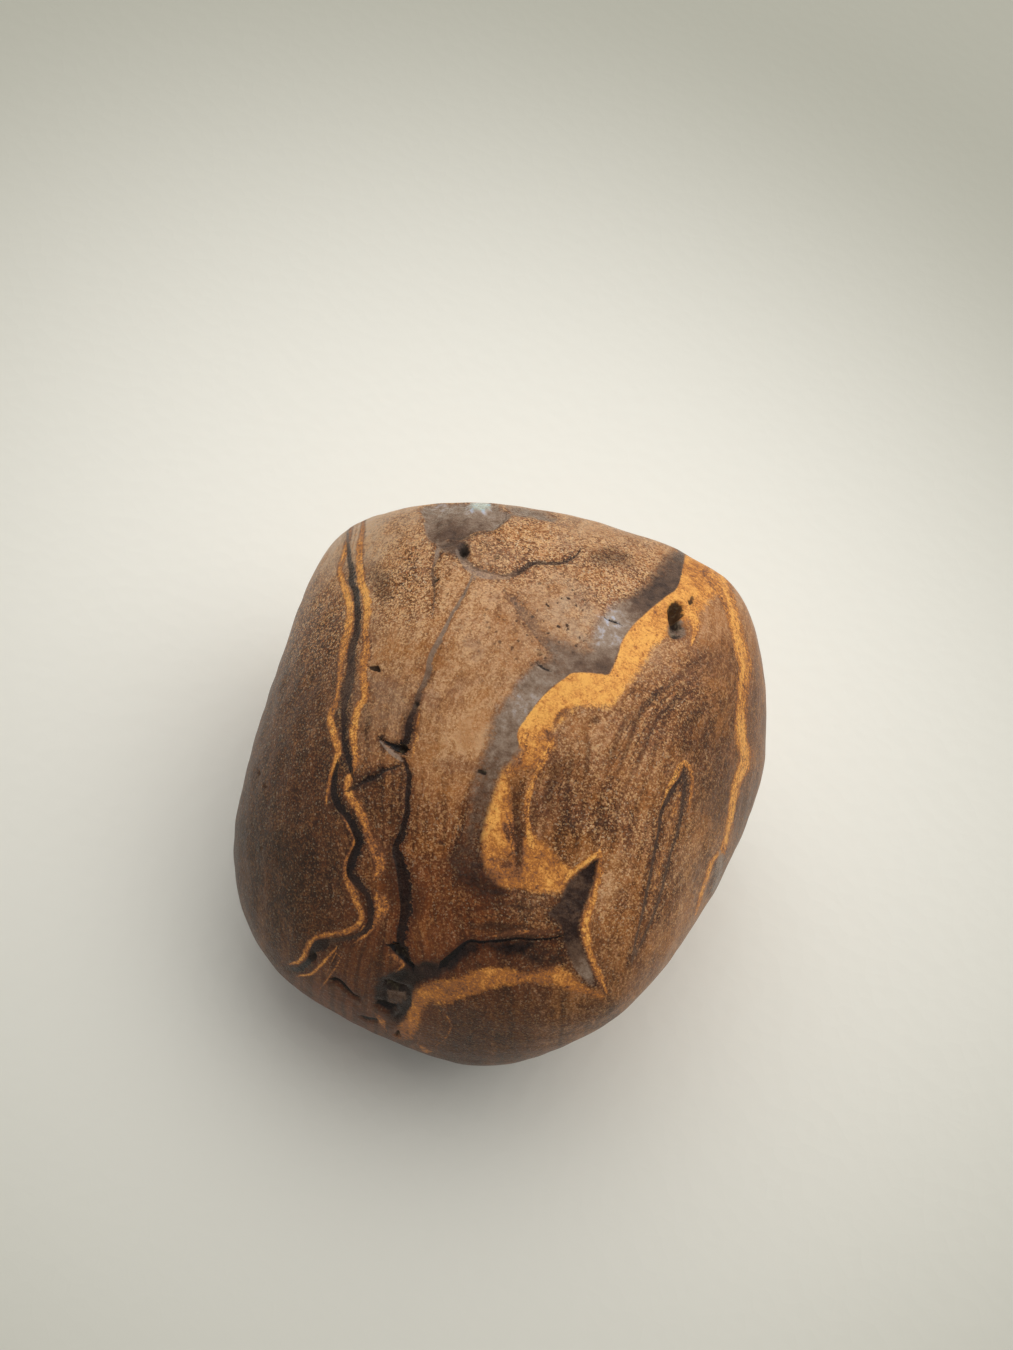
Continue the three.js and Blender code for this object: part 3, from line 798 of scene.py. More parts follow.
def smooth_path(points: Path, pieces: int = 4) -> Array:
    """A rounded line through points, by Catmull and Rom's rule.

    Args:
        points: the places that the line passes through, in steps.
        pieces: straight pieces between one place and the next.

    Returns:
        Rows (x, y) along the line, in mm.
    """
    knots = ruled(points)
    knots = np.vstack([2.0 * knots[0] - knots[1], knots, 2.0 * knots[-1] - knots[-2]])
    before, start, end, after = (knots[i : len(knots) - 3 + i, None, :] for i in range(4))
    t = (np.arange(pieces) / pieces)[None, :, None]
    line = 0.5 * (
        2.0 * start
        + (end - before) * t
        + (2.0 * before - 5.0 * start + 4.0 * end - after) * t**2
        + (3.0 * start - before - 3.0 * end + after) * t**3
    )
    return np.vstack([line.reshape(-1, 2), knots[-2]])


def near_line(places: Array, line: Array) -> tuple[Array, Array, Array]:
    """How places lie about an open line.

    Args:
        places: rows (x, y).
        line: rows (x, y) along the line.

    Returns:
        Distance from the line, signed distance (positive on its left hand), and how far along the
        line the nearest point is, from 0 to 1.
    """
    starts, ways = line[:-1], np.diff(line, axis=0)
    lengths = np.linalg.norm(ways, axis=1)
    offsets = places[:, None, :] - starts[None]
    share = np.clip((offsets * ways).sum(axis=2) / lengths**2, 0.0, 1.0)
    gaps = np.linalg.norm(offsets - share[..., None] * ways, axis=2)
    nearest = gaps.argmin(axis=1)
    rows = np.arange(len(places))
    offset, way = offsets[rows, nearest], ways[nearest]
    left = np.where(way[:, 0] * offset[:, 1] - way[:, 1] * offset[:, 0] >= 0.0, 1.0, -1.0)
    reached = np.concatenate([[0.0], np.cumsum(lengths)])
    along = (reached[nearest] + share[rows, nearest] * lengths[nearest]) / reached[-1]
    gap = gaps[rows, nearest]
    return gap, left * gap, along


def inside_outline(places: Array, outline: Array) -> Array:
    """Whether places are inside a closed outline: a level ray from them crosses it an odd count.

    Args:
        places: rows (x, y).
        outline: rows (x, y) around the outline, which closes by itself.

    Returns:
        True or False for each place.
    """
    start, end = outline, np.roll(outline, -1, axis=0)
    rise = end[:, 1] - start[:, 1]
    spans = (start[None, :, 1] > places[:, None, 1]) != (end[None, :, 1] > places[:, None, 1])
    share = (places[:, None, 1] - start[:, 1]) / np.where(rise == 0.0, 1.0, rise)
    crossing = start[:, 0] + share * (end[:, 0] - start[:, 0])
    return (spans & (crossing > places[:, None, 0])).sum(axis=1) % 2 == 1


def spread(values: tuple[float, ...], along: Array) -> Array:
    """Values that are spread evenly along a path, read at places from 0 to 1 along it."""
    stops = np.linspace(0.0, 1.0, len(values)) if len(values) > 1 else [0.0]
    return np.interp(along, stops, values)


def blend_places(places: Array, anchors: Array, values: Array, softness: float | Array) -> Array:
    """Values between named places, weighed by softness^2 / (distance^2 + softness^2)^2.

    Args:
        places: rows (x, y) to read at.
        anchors: rows (x, y) of the named places.
        values: one row of values for each named place.
        softness: mm, for all or for each: how far a named place holds its own values.

    Returns:
        One row of values for each place.
    """
    squares = ((places[:, None, :] - anchors[None]) ** 2).sum(axis=2)
    own = np.asarray(softness) ** 2
    weights = own / (squares + own) ** 2
    return weights @ values / weights.sum(axis=1, keepdims=True)


@dataclass
class Skin:
    """The points of the stone's surface, with where they are drawn and how they face the eye."""

    points: Array
    places: Array
    facing: Array
    turn: tuple[float, float] = (-0.12, 0.05)  # of facing: from the far side to the drawn face

    def weight(self, reach: Reach) -> Array:
        """How much of a mark shows at each point.

        Args:
            reach: how far the mark runs into the stone.

        Returns:
            From 0 to 1, for each point.
        """
        if reach is Reach.THROUGH:
            return np.ones(len(self.points))
        front = smooth_step(self.facing, *self.turn)
        return front if reach is Reach.SKIN else 1.0 - front

    def close_to(self, shape: Array, margin: float, reach: Reach) -> Array:
        """The points that a mark may touch.

        Args:
            shape: rows (x, y) of the mark.
            margin: mm that it may stray outside its own box.
            reach: how far it runs into the stone.

        Returns:
            Their row numbers.
        """
        low, high = shape.min(axis=0) - margin, shape.max(axis=0) + margin
        close = ((self.places > low) & (self.places < high)).all(axis=1)
        return np.flatnonzero(close & (self.weight(reach) > 0.0))


@dataclass
class SeamSheet:
    """The nearest seam of a group at each point: its signed distance, half width, tone and cover."""

    seams: tuple[Seam, ...]
    margin: float = 1.2  # mm from a seam, past which it is left out
    hairline: float = 0.01  # mm: the half width where there is no seam
    side: Array = field(init=False)
    half: Array = field(init=False)
    tone: Array = field(init=False)
    cover: Array = field(init=False)
    groove: Array = field(init=False)

    def lay_on(self, skin: Skin) -> None:
        """Finds the nearest seam at every point of the skin.

        The nearest is the one whose edge, its distance less its half width, is nearest.

        Args:
            skin: the stone's surface.
        """
        count = len(skin.points)
        edge, self.side, self.half = np.full(count, FAR), np.full(count, FAR), np.full(count, self.hairline)
        self.tone, self.cover, self.groove = np.zeros(count), np.ones(count), np.zeros(count)
        for seam in self.seams:
            line = smooth_path(seam.path)
            close = skin.close_to(line, self.margin, seam.reach)
            if not len(close):
                continue
            gap, side, along = near_line(skin.places[close], line)
            half = 0.5 / STEPS * spread(seam.widths, along) * skin.weight(seam.reach)[close]
            nearer = gap - half < edge[close]
            rows = close[nearer]
            edge[rows] = (gap - half)[nearer]
            self.side[rows], self.half[rows] = side[nearer], half[nearer]
            self.tone[rows] = spread(seam.tones, along)[nearer]
            self.cover[rows], self.groove[rows] = seam.cover, seam.groove

    def numbers(self, group: str) -> dict[str, Array]:
        """The numbers that the finish reads for this group, by the attribute's name."""
        values = dict(side=self.side, gap=-self.depth, half=self.half, tone=self.tone, cover=self.cover)
        return {f"{group}_{name}": value for name, value in values.items()}

    @property
    def depth(self) -> Array:
        """How deep each point is inside its seam, in mm: negative outside."""
        return self.half - np.abs(self.side)


@dataclass
class PatchSheet:
    """The patches of one mineral at each point: depth inside the edge, softness, tone and cover."""

    patches: tuple[Patch, ...]
    tone_reach: float = 0.7  # mm: how far a named place in a patch holds its own tone
    hidden: float = 2.0  # mm: how far outside a patch the side that it does not reach counts as
    no_soft: float = 0.1  # mm: the softness where there is no patch
    lip: tuple[float, float] = (-0.1, 0.2)  # mm of depth, at the least, over which it sinks
    front_gap: tuple[float, float] = (0.15, 0.7)  # mm from the front, over which the edge softens
    glow_gap: tuple[float, float] = (0.5, 1.4)  # of a glow's radius, over which it fades
    depth: Array = field(init=False)
    soft: Array = field(init=False)
    tone: Array = field(init=False)
    cover: Array = field(init=False)
    sink: Array = field(init=False)

    def lay_on(self, skin: Skin) -> None:
        """Lays the patches down in order: a later one covers an earlier one that it overlaps.

        Args:
            skin: the stone's surface.
        """
        count = len(skin.points)
        self.depth, self.soft = np.full(count, -FAR), np.full(count, self.no_soft)
        self.tone, self.cover, self.sink = np.zeros(count), np.ones(count), np.zeros(count)
        for patch in self.patches:
            outline = smooth_path((*patch.outline, patch.outline[0]))
            close = skin.close_to(outline, FAR, patch.reach)
            if not len(close):
                continue
            places = skin.places[close]
            gap, _, _ = near_line(places, outline)
            depth = np.where(inside_outline(places, outline[:-1]), gap, -gap)
            depth -= self.hidden * (1.0 - skin.weight(patch.reach)[close])
            anchors = np.array(patch.tones)
            tone, cover = blend_places(places, ruled(anchors[:, :2]), anchors[:, 2:], self.tone_reach).T
            soft, fading = self.edge(patch, places)
            sink = patch.sink * cover * smooth_step(depth, self.lip[0], max(self.lip[1], patch.soft))
            alone = (depth > self.depth[close]) & (self.depth[close] < 0.0)
            share = np.where(alone, 1.0, smooth_step(depth, -CRISP, 2.0 * CRISP))
            self.depth[close] = np.maximum(self.depth[close], depth)
            olds = (self.tone, self.cover, self.soft, self.sink)
            for old, new in zip(olds, (tone, cover * fading, soft, sink)):
                old[close] += share * (new - old[close])

    def numbers(self, group: str) -> dict[str, Array]:
        """The numbers that the finish reads for this group, by the attribute's name."""
        values = dict(depth=self.depth, soft=self.soft, tone=self.tone, cover=self.cover)
        return {f"{group}_{name}": value for name, value in values.items()}

    def edge(self, patch: Patch, places: Array) -> tuple[Array, Array]:
        """How a patch's edge and its colour change with the distance from its front.

        Args:
            patch: the patch.
            places: rows (x, y) in mm.

        Returns:
            How soft the edge is, in mm, and how strong the colour is, from 0 to 1.
        """
        if not patch.front:
            return np.full(len(places), patch.soft), np.ones(len(places))
        gap, _, _ = near_line(places, smooth_path(patch.front))
        soft = CRISP + (patch.soft - CRISP) * smooth_step(gap, *self.front_gap)
        if patch.fade is None:
            return soft, np.ones(len(places))
        strength = 1.0 - smooth_step(gap, *patch.fade)
        for x, y, radius in patch.glows:
            reach = np.linalg.norm(places - ruled((x, y)), axis=1) * STEPS / radius
            strength = np.maximum(strength, 1.0 - smooth_step(reach, *self.glow_gap))
        return soft, strength


@dataclass
class Ground:
    """The ground between the marks: light, rust, grey, glitter and layers."""

    zones: tuple[Zone, ...]
    guides: tuple[Guide, ...]
    far_layering: float = 0.6  # how strongly the far side is streaked along its layers
    slack: float = 0.5  # mm^2: how loosely the layers follow the guides
    values: dict[str, Array] = field(init=False)

    def lay_on(self, skin: Skin) -> None:
        """Reads the zones and the layers at every point of the skin.

        Args:
            skin: the stone's surface.
        """
        names = ("light", "rust", "grey", "glitter", "layering", "pores")
        anchors = ruled([zone.place for zone in self.zones])
        radii = np.array([zone.radius for zone in self.zones]) / STEPS
        levels = np.array([[getattr(zone, name) for name in names] for zone in self.zones])
        self.values = dict(zip(names, blend_places(skin.places, anchors, levels, radii).T))
        self.values["layering"] += skin.weight(Reach.BEHIND) * (self.far_layering - self.values["layering"])
        self.values["layer"] = self.layers(skin.places)

    def layers(self, places: Array) -> Array:
        """The layer number of places: a smooth sheet that has its own number along each guide.

        It is the surface of a thin bent plate, a sum of r^2 * ln(r) about points of the guides and
        a flat tilt, solved so that it comes close to every guide's number.

        Args:
            places: rows (x, y) in mm.

        Returns:
            One number for each place.
        """
        knots = np.vstack([ruled(guide.path) for guide in self.guides])
        levels = np.concatenate([np.full(len(guide.path), guide.layer) for guide in self.guides])
        count = len(knots)

        def bending(rows: Array) -> Array:
            """r^2 * ln(r) from each row to each knot, kept from ln(0) by a hair."""
            squares = ((rows[:, None, :] - knots[None]) ** 2).sum(axis=2)
            return 0.5 * squares * np.log(squares + 1e-9)

        def flat(rows: Array) -> Array:
            """The rows (1, x, y) of a tilt."""
            return np.hstack([np.ones((len(rows), 1)), rows])

        system = np.zeros((count + 3, count + 3))
        system[:count, :count] = bending(knots) + self.slack * np.eye(count)
        system[:count, count:], system[count:, :count] = flat(knots), flat(knots).T
        weights = np.linalg.solve(system, np.concatenate([levels, np.zeros(3)]))
        return bending(places) @ weights[:count] + flat(places) @ weights[count:]


@dataclass
class PitSheet:
    """The open pits: how far the surface sinks, and the painted shade over each pit, fuller for a deeper
    pit.
    """

    pits: tuple[Pit, ...]
    raggedness: RoughField = RoughField(7, 0.8)
    ragged_share: float = 0.28  # of a pit's radius
    bluntness: float = 2.6  # 2 for a round bowl, and more for a flat floor
    # lip and full_depth shape the painted shade over each pit
    lip: tuple[float, float] = (0.75, 1.15)  # of a pit's radius, over which its dark mouth fades
    full_depth: float = 0.3  # mm: a pit as deep as this has a quite dark mouth
    sink: Array = field(init=False)
    pit_shade: Array = field(init=False)

    def lay_on(self, skin: Skin) -> None:
        """Sinks each pit into the skin, a bowl of 1 - r^bluntness of its depth with a ragged lip, and
        paints shade over it.

        Args:
            skin: the stone's surface.
        """
        count = len(skin.points)
        ragged = 1.0 + self.ragged_share * self.raggedness.at(skin.points)
        self.sink, self.pit_shade = np.zeros(count), np.zeros(count)
        for pit in self.pits:
            turn = np.radians(pit.turn)
            along = np.array([np.sin(turn), np.cos(turn)])
            across = np.array([np.cos(turn), -np.sin(turn)])
            middle, length, width = ruled([pit.place]), pit.length / STEPS, pit.width / STEPS
            close = skin.close_to(middle, length, pit.reach)
            ways, weight = skin.places[close] - middle, skin.weight(pit.reach)[close]
            radius = np.hypot(ways @ along / (0.5 * length), ways @ across / (0.5 * width))
            radius *= ragged[close]
            bowl = 1.0 - np.minimum(radius, 1.0) ** self.bluntness
            self.sink[close] = np.maximum(self.sink[close], pit.depth * bowl * weight)
            # painted shade: full over the middle of a pit, fading across its lip, and fuller the deeper the
            # pit is
            hollow = (1.0 - smooth_step(radius, *self.lip)) * min(1.0, pit.depth / self.full_depth)
            self.pit_shade[close] = np.maximum(self.pit_shade[close], hollow * weight)


# ---- finishes


def paint(red: int, green: int, blue: int) -> Colour:
    """A screen colour of 0 to 255 as the linear light that a shader takes, by the sRGB curve."""
    levels = np.array([red, green, blue]) / 255.0
    return tuple(np.where(levels <= 0.04045, levels / 12.92, ((levels + 0.055) / 1.055) ** 2.4).tolist())


@dataclass(frozen=True)
class Coat:
    """A colour that is laid over others, and the most that it hides of them, from 0 to 1."""

    colour: Colour
    strength: float


@dataclass(frozen=True)
class Value:
    """An output of a node, reckoned with like a number: each step adds a node to its tree."""

    wires: Wires
    socket: Socket

    def __add__(self, other: Number) -> Value:
        """This and another."""
        return self.wires.math("ADD", self, other)

    def __sub__(self, other: Number) -> Value:
        """This less another."""
        return self.wires.math("SUBTRACT", self, other)

    def __rsub__(self, other: float) -> Value:
        """A number less this."""
        return self.wires.math("SUBTRACT", other, self)

    def __mul__(self, other: Number) -> Value:
        """This times another."""
        return self.wires.math("MULTIPLY", self, other)

    def __truediv__(self, other: Number) -> Value:
        """This over another."""
        return self.wires.math("DIVIDE", self, other)

    def __abs__(self) -> Value:
        """This without its sign."""
        return self.wires.math("ABSOLUTE", self)

    __radd__ = __add__
    __rmul__ = __mul__


class Wires:
    """Builds the nodes of a new material: most methods add one node and give back its output."""

    def __init__(self, name: str) -> None:
        """Makes the material, with a shader, and finds the object's own coordinates in mm.

        Args:
            name: the material's name.
        """
        self.material = bpy.data.materials.new(name)
        self.material.use_nodes = True
        self.tree = self.material.node_tree
        self.tree.nodes.clear()
        self.shader = self.node("BsdfPrincipled", {})
        self.node("OutputMaterial", {"Surface": self.output(self.shader, "BSDF")})
        own = {0: self.output(self.node("TexCoord", {}), "Object"), "Scale": 1.0 / METRE}
        self.place = self.output(self.node("VectorMath", own, operation="SCALE"))

    def plug(self, socket: Socket, value: Setting) -> None:
        """Links a socket to an output, or sets it to a number, a vector or a colour."""
        if isinstance(value, Value):
            self.tree.links.new(value.socket, socket)
        elif isinstance(value, tuple) and socket.type == "RGBA":
            socket.default_value = (*value, 1.0)
        else:
            socket.default_value = value

    def node(self, kind: str, inputs: dict[str | int, Setting], **settings: object) -> bpy.types.Node:
        """A new node.

        Args:
            kind: what Blender calls this kind of node, without "ShaderNode".
            inputs: what goes into each input, by its name or number.
            **settings: the node's own settings.

        Returns:
            The node.
        """
        node = self.tree.nodes.new("ShaderNode" + kind)
        for name, setting in settings.items():
            setattr(node, name, setting)
        for name, value in inputs.items():
            self.plug(node.inputs[name], value)
        return node

    def output(self, node: bpy.types.Node, name: str | int = 0) -> Value:
        """One output of a node, by its name or number."""
        return Value(self, node.outputs[name])

    def attribute(self, name: str) -> Value:
        """A number that each vertex holds."""
        return self.output(self.node("Attribute", {}, attribute_name=name), "Fac")

    def math(self, operation: str, *values: Number) -> Value:
        """One step of arithmetic on numbers."""
        return self.output(self.node("Math", dict(enumerate(values)), operation=operation))

    def larger(self, first: Number, second: Number) -> Value:
        """The larger of two numbers."""
        return self.math("MAXIMUM", first, second)

    def span(self, value: Value, low: Number, high: Number, start: float = 0.0, end: float = 1.0) -> Value:
        """Runs from start to end as a value goes from low to high, by 3t^2 - 2t^3."""
        limits = {"Value": value, "From Min": low, "From Max": high, "To Min": start, "To Max": end}
        return self.output(self.node("MapRange", limits, interpolation_type="SMOOTHSTEP"), "Result")

    def ramp(self, value: Value, stops: Ramp) -> Value:
        """A colour read off a ramp.

        Args:
            value: where to read it.
            stops: the ramp.

        Returns:
            The colour.
        """
        node = self.node("ValToRGB", {"Fac": value})
        elements = node.color_ramp.elements
        for place, _ in stops[1:-1]:
            elements.new(place)
        for element, (place, colour) in zip(elements, stops):
            element.position = place
            element.color = (*colour, 1.0)
        return self.output(node, "Color")

    def blend(self, factor: Number, first: Value | Colour, second: Value | Colour) -> Value:
        """The second colour over the first, by a factor from 0 to 1."""
        node = self.node("Mix", {"Factor": factor, "A": first, "B": second}, data_type="RGBA")
        return self.output(node, "Result")

    def lay(self, under: Value, *coats: tuple[Coat, Value]) -> Value:
        """Coats over a colour, one after another, each where its mask from 0 to 1 lets it show."""
        for coat, mask in coats:
            under = self.blend(mask * coat.strength, under, coat.colour)
        return under

    def vector(self, x: Number, y: Number, z: Number) -> Value:
        """A vector of three numbers."""
        return self.output(self.node("CombineXYZ", {0: x, 1: y, 2: z}))

    def reckon(self, operation: str, first: Value, *second: tuple[float, ...]) -> Value:
        """One step of arithmetic on a vector, which gives a vector."""
        return self.output(self.node("VectorMath", dict(enumerate((first, *second))), operation=operation))

    def noise(
        self, size: float, detail: float = 2.0, rough: float = 0.5, place: Value | None = None
    ) -> Value:
        """Cloudy noise from 0 to 1, read at a place or at the object's own coordinates."""
        inputs = {"Vector": place or self.place, "Scale": 1.0 / size, "Detail": detail, "Roughness": rough}
        return self.output(self.node("TexNoise", inputs), "Fac")

    def wobble(self, size: float, detail: float = 2.0, rough: float = 0.5) -> Value:
        """The same noise at the object's own coordinates, from -0.5 to 0.5."""
        return self.noise(size, detail, rough) - 0.5

    def grains(self, size: float) -> tuple[Value, Value, Value]:
        """Packed grains.

        Args:
            size: mm, how large they are.

        Returns:
            Two random numbers for each grain, from 0 to 1, and the distance from its middle.
        """
        node = self.node("TexVoronoi", {"Vector": self.place, "Scale": 1.0 / size})
        split = self.node("SeparateColor", {0: self.output(node, "Color")})
        return self.output(split, 0), self.output(split, 1), self.output(node, "Distance")

    def wear(self, height: Value, depth: float, strength: float) -> None:
        """Leans the shader's normal with a height, which is so many metres deep at full height."""
        node = self.node("Bump", {"Height": height, "Distance": depth, "Strength": strength})
        self.plug(self.shader.inputs["Normal"], self.output(node, "Normal"))

    def put_on(self, thing: bpy.types.Object, colour: Value, rough: Number, gloss: float) -> None:
        """Finishes the shader, and makes this the only material of an object.

        Args:
            thing: the object.
            colour: its base colour.
            rough: its roughness, from 0 to 1.
            gloss: how strongly it mirrors, from 0 to 1.
        """
        for name, value in (("Base Color", colour), ("Roughness", rough), ("Specular IOR Level", gloss)):
            self.plug(self.shader.inputs[name], value)
        thing.data.materials.clear()
        thing.data.materials.append(self.material)


class StoneWires(Wires):
    """The wires of the stone, with the grains, the fraying and the shade that its colours share."""

    def __init__(self, name: str, sand: float, coarse_sand: float) -> None:
        """Makes the material and what its colours share.

        A soft line of shade is full along its middle, and gone at 1.7 of its half width.

        Args:
            name: the material's name.
            sand: mm, the size of the fine grains.
            coarse_sand: mm, the size of the coarse ones.
        """
        super().__init__(name)
        self.layer = self.attribute("layer")
        number, self.tint, _ = self.grains(sand)
        self.grain = number * 0.65 + self.grains(coarse_sand)[0] * 0.35
        self.frayed = self.wobble(0.7, 4.0, 0.75) * 1.3 + (self.grain - 0.5) * 0.24
        side = abs(self.attribute("shade_side") + self.wobble(0.9, 3.0, 0.6) * 0.35)
        near = self.span(self.attribute("shade_gap"), 0.9, 0.3)
        across = self.span(side / self.attribute("shade_half"), 1.7, 0.2)
        self.shade = across * self.attribute("shade_tone") * near

    def seam_mask(self, group: str, frayed: Value, softness: float) -> Value:
        """How far a point is inside a seam.

        It is inside where its distance from the middle line is under the half width, or where its
        depth says so, which keeps thin ends whole. Wide seams fray more than thin ones.

        Args:
            group: the group of seams.
            frayed: the noise that frays the edges.
            softness: mm, half the width of the edge.

        Returns:
            The mask, from 0 to 1 across the edge.
        """
        half = self.attribute(group + "_half")
        fray = frayed * self.span(half, 0.05, 0.35, 0.25, 0.8)
        inner = abs(self.attribute(group + "_side") + fray * 0.5) - half
        edge = self.larger(inner, self.attribute(group + "_gap") - 0.2) + fray * 0.5
        return self.span(edge, softness, -softness)

    def patch_mask(self, group: str) -> Value:
        """How far a point is inside a patch of a group, from 0 to 1: a softer edge frays further."""
        depth, soft = self.attribute(group + "_depth"), self.attribute(group + "_soft")
        return self.span(depth + self.frayed * (0.2 + soft * 2.0), soft * -1.0, soft)

    def threads(self, group: str) -> Value:
        """Noise from -0.5 to 0.5, drawn out along the seams of a group."""
        across, along = self.attribute(group + "_side") * 4.0, self.layer * 0.4
        return self.noise(1.0, 3.0, 0.6, self.vector(across, along, self.noise(1.5, 1.0))) - 0.5


@dataclass(frozen=True)
class StoneFinish:
    """The tumbled stone's skin: layered ground, ochre, blue-grey silica and dark iron seams.

    Each colour is first a tone: a mark's own, plus several noises, each weighed. A ramp turns the
    tone into a colour, and coats are laid over it where their masks let them show. Some of it is
    painted light: glints on the palest silica, sparkle on the grains, and shade in the pits and pinholes.
    """

    ground: Ramp = (
        (0.0, paint(40, 22, 12)),
        (0.25, paint(86, 50, 24)),
        (0.5, paint(136, 88, 48)),
        (0.75, paint(180, 128, 80)),
        (1.0, paint(218, 172, 126)),
    )
    grey: Ramp = (
        (0.2, paint(104, 84, 68)),
        (0.6, paint(142, 118, 98)),
        (1.0, paint(190, 164, 138)),
    )
    ochre: Ramp = (
        (0.0, paint(255, 188, 96)),
        (0.25, paint(230, 157, 78)),
        (0.5, paint(186, 116, 52)),
        (0.75, paint(150, 97, 60)),
        (1.0, paint(98, 60, 38)),
    )
    silica: Ramp = (
        (0.0, paint(16, 9, 8)),
        (0.3, paint(54, 37, 30)),
        (0.6, paint(108, 82, 64)),
        (0.8, paint(146, 123, 104)),
        (1.0, paint(178, 160, 146)),
    )
    opal: Ramp = (
        (0.35, paint(150, 170, 168)),
        (0.5, paint(206, 216, 200)),
        (0.65, paint(176, 200, 204)),
    )
    # hollow: the colours of the painted shade in the pits, dark browns rising to the grey-green of their
    # mineral lining
    hollow: Ramp = (
        (0.35, paint(30, 22, 18)),
        (0.55, paint(58, 46, 36)),
        (0.75, paint(122, 112, 88)),
    )
    amber: Coat = Coat(paint(176, 112, 48), 0.45)
    plum: Coat = Coat(paint(116, 76, 56), 0.4)
    rose: Coat = Coat(paint(206, 152, 112), 0.4)
    rust: Coat = Coat(paint(140, 70, 32), 0.8)
    ember: Coat = Coat(paint(206, 118, 48), 0.45)
    # gold is partly the stone's golden grains and partly painted sparkle on them; pale is painted sparkle,
    # bright specks for glints off single grains
    gold: Coat = Coat(paint(232, 188, 132), 0.8)
    pale: Coat = Coat(paint(240, 214, 178), 0.7)
    speckle: Coat = Coat(paint(62, 36, 20), 0.5)
    # umber darkens the soft dark lines, which are the stone's own, and the pinholes, where it is painted
    # shade
    umber: Coat = Coat(paint(62, 36, 20), 0.75)
    # glint: a painted highlight, pale blue-white specks on the palest silica
    glint: Coat = Coat(paint(196, 196, 210), 1.0)
    grey_strength: float = 0.75
    seam_strength: float = 0.92
    pit_shade_strength: float = 0.92
    sand: float = 0.09  # mm: the fine grains
    coarse_sand: float = 0.15  # mm
    pore_spacing: float = 0.5  # mm
    ring_rate: float = 9.0  # radians of a ring for each layer
    relief: float = 0.00012  # metres: how deep the grain is
    roughness: float = 0.4
    gloss: float = 0.22

    def dress(self, stone: bpy.types.Object) -> None:
        """Gives the stone this finish: ochre over the ground, dark over ochre, and painted shade in the
        pits over all.

        Args:
            stone: an object whose mesh holds the attributes that Pebble writes.
        """
        wires = StoneWires("tumbled ironstone matrix", self.sand, self.coarse_sand)
        colour, ochre = self.ochre_colour(wires, self.ground_colour(wires))
        colour, dark = self.dark_colour(wires, colour)
        # painted shade over the pits, laid over everything else, where the surface is also rougher
        pit_shade = wires.span(wires.attribute("pit_shade") + wires.frayed * 1.1, 0.2, 0.6)
        inside = wires.ramp(wires.noise(0.5, 3.0, 0.6), self.hollow)
        colour = wires.blend(pit_shade * self.pit_shade_strength, colour, inside)
        rough = self.roughness + ochre * 0.08 - dark * 0.14 + pit_shade * 0.3 + (wires.grain - 0.5) * 0.18
        height = wires.grain * 0.6 + wires.noise(0.35, 4.0, 0.65) + wires.noise(1.4) * 0.5
        wires.wear(height, self.relief, 0.5)
        wires.put_on(stone, colour, rough, self.gloss)

    def ground_colour(self, wires: StoneWires) -> Value:
        """The sandy ground, streaked along its layers, with rings, grains with painted sparkle, and dark
        pores of painted shade.

        Streaks and fibres are noises drawn out along the layers: their place is the layer's number,
        swayed, with a small share of the point's own x and y. A ring is dark where the sine of the
        layer is high. The tone is the ground's light, plus the streaks, fibres, mottle and grain
        that vary it, less the shade and the dark halos beside seams and slate.

        Args:
            wires: the material.

        Returns:
            The colour.
        """
        light, glitter = wires.attribute("light"), wires.attribute("glitter")
        layering, grain = wires.attribute("layering"), wires.grain
        wavy = wires.layer + (1.1 - layering) * wires.noise(1.3)
        mottle, hue = wires.noise(1.1, 4.0, 0.6), wires.noise(2.4, 3.0, 0.6)
        split = wires.node("SeparateXYZ", {0: wires.place})
        along_x = wires.output(split, "X") * 0.2 + mottle * 0.9
        along_y = wires.output(split, "Y") * 0.2 + hue * 0.9
        drawn_out = wires.vector(wavy * 1.6, along_x, along_y)
        streak = wires.noise(1.0, 3.0, 0.6, drawn_out)
        fibre = wires.noise(1.0, 3.0, 0.65, wires.reckon("MULTIPLY", drawn_out, (3.4, 9.0, 9.0)))
        wave = wires.math("SINE", wires.layer * self.ring_rate + wires.noise(3.0) * 4.0)
        ring = wires.span(wave, 0.3, 0.95) * wires.span(layering, 0.35, 1.0) * 0.6
        shade = wires.larger(wires.shade, ring)
        variation = (
            (streak - 0.5) * (0.7 + layering * 0.4)
            + (fibre - 0.5) * (0.8 - glitter * 0.3)
            + (mottle - 0.5) * (0.8 - layering * 0.5)
            + wires.larger(grain - 0.5, -0.2) * (0.1 + glitter * 1.4)
        )
        tone = (
            light
            + variation * (0.45 + light * 0.7)
            - shade * 0.25
            - wires.span(wires.attribute("slate_depth"), -0.6, 0.0) * 0.2
            - wires.span(wires.attribute("iron_gap"), 0.5, 0.0) * 0.22
        )
        tinted = wires.span(tone, 0.0, 0.6)
        brown = wires.lay(
            wires.ramp(tone, self.ground),
            (self.amber, wires.span(hue, 0.5, 0.64) * tinted),
            (self.plum, wires.span(hue, 0.47, 0.36) * tinted),
            (self.rose, wires.span(fibre, 0.54, 0.66) * tinted),
        )
        greyed = wires.attribute("grey") * wires.span(mottle, 0.35, 0.6, 0.4, 1.0) * self.grey_strength
        lit = wires.span(light, 0.0, 0.4, 0.35, 1.0)
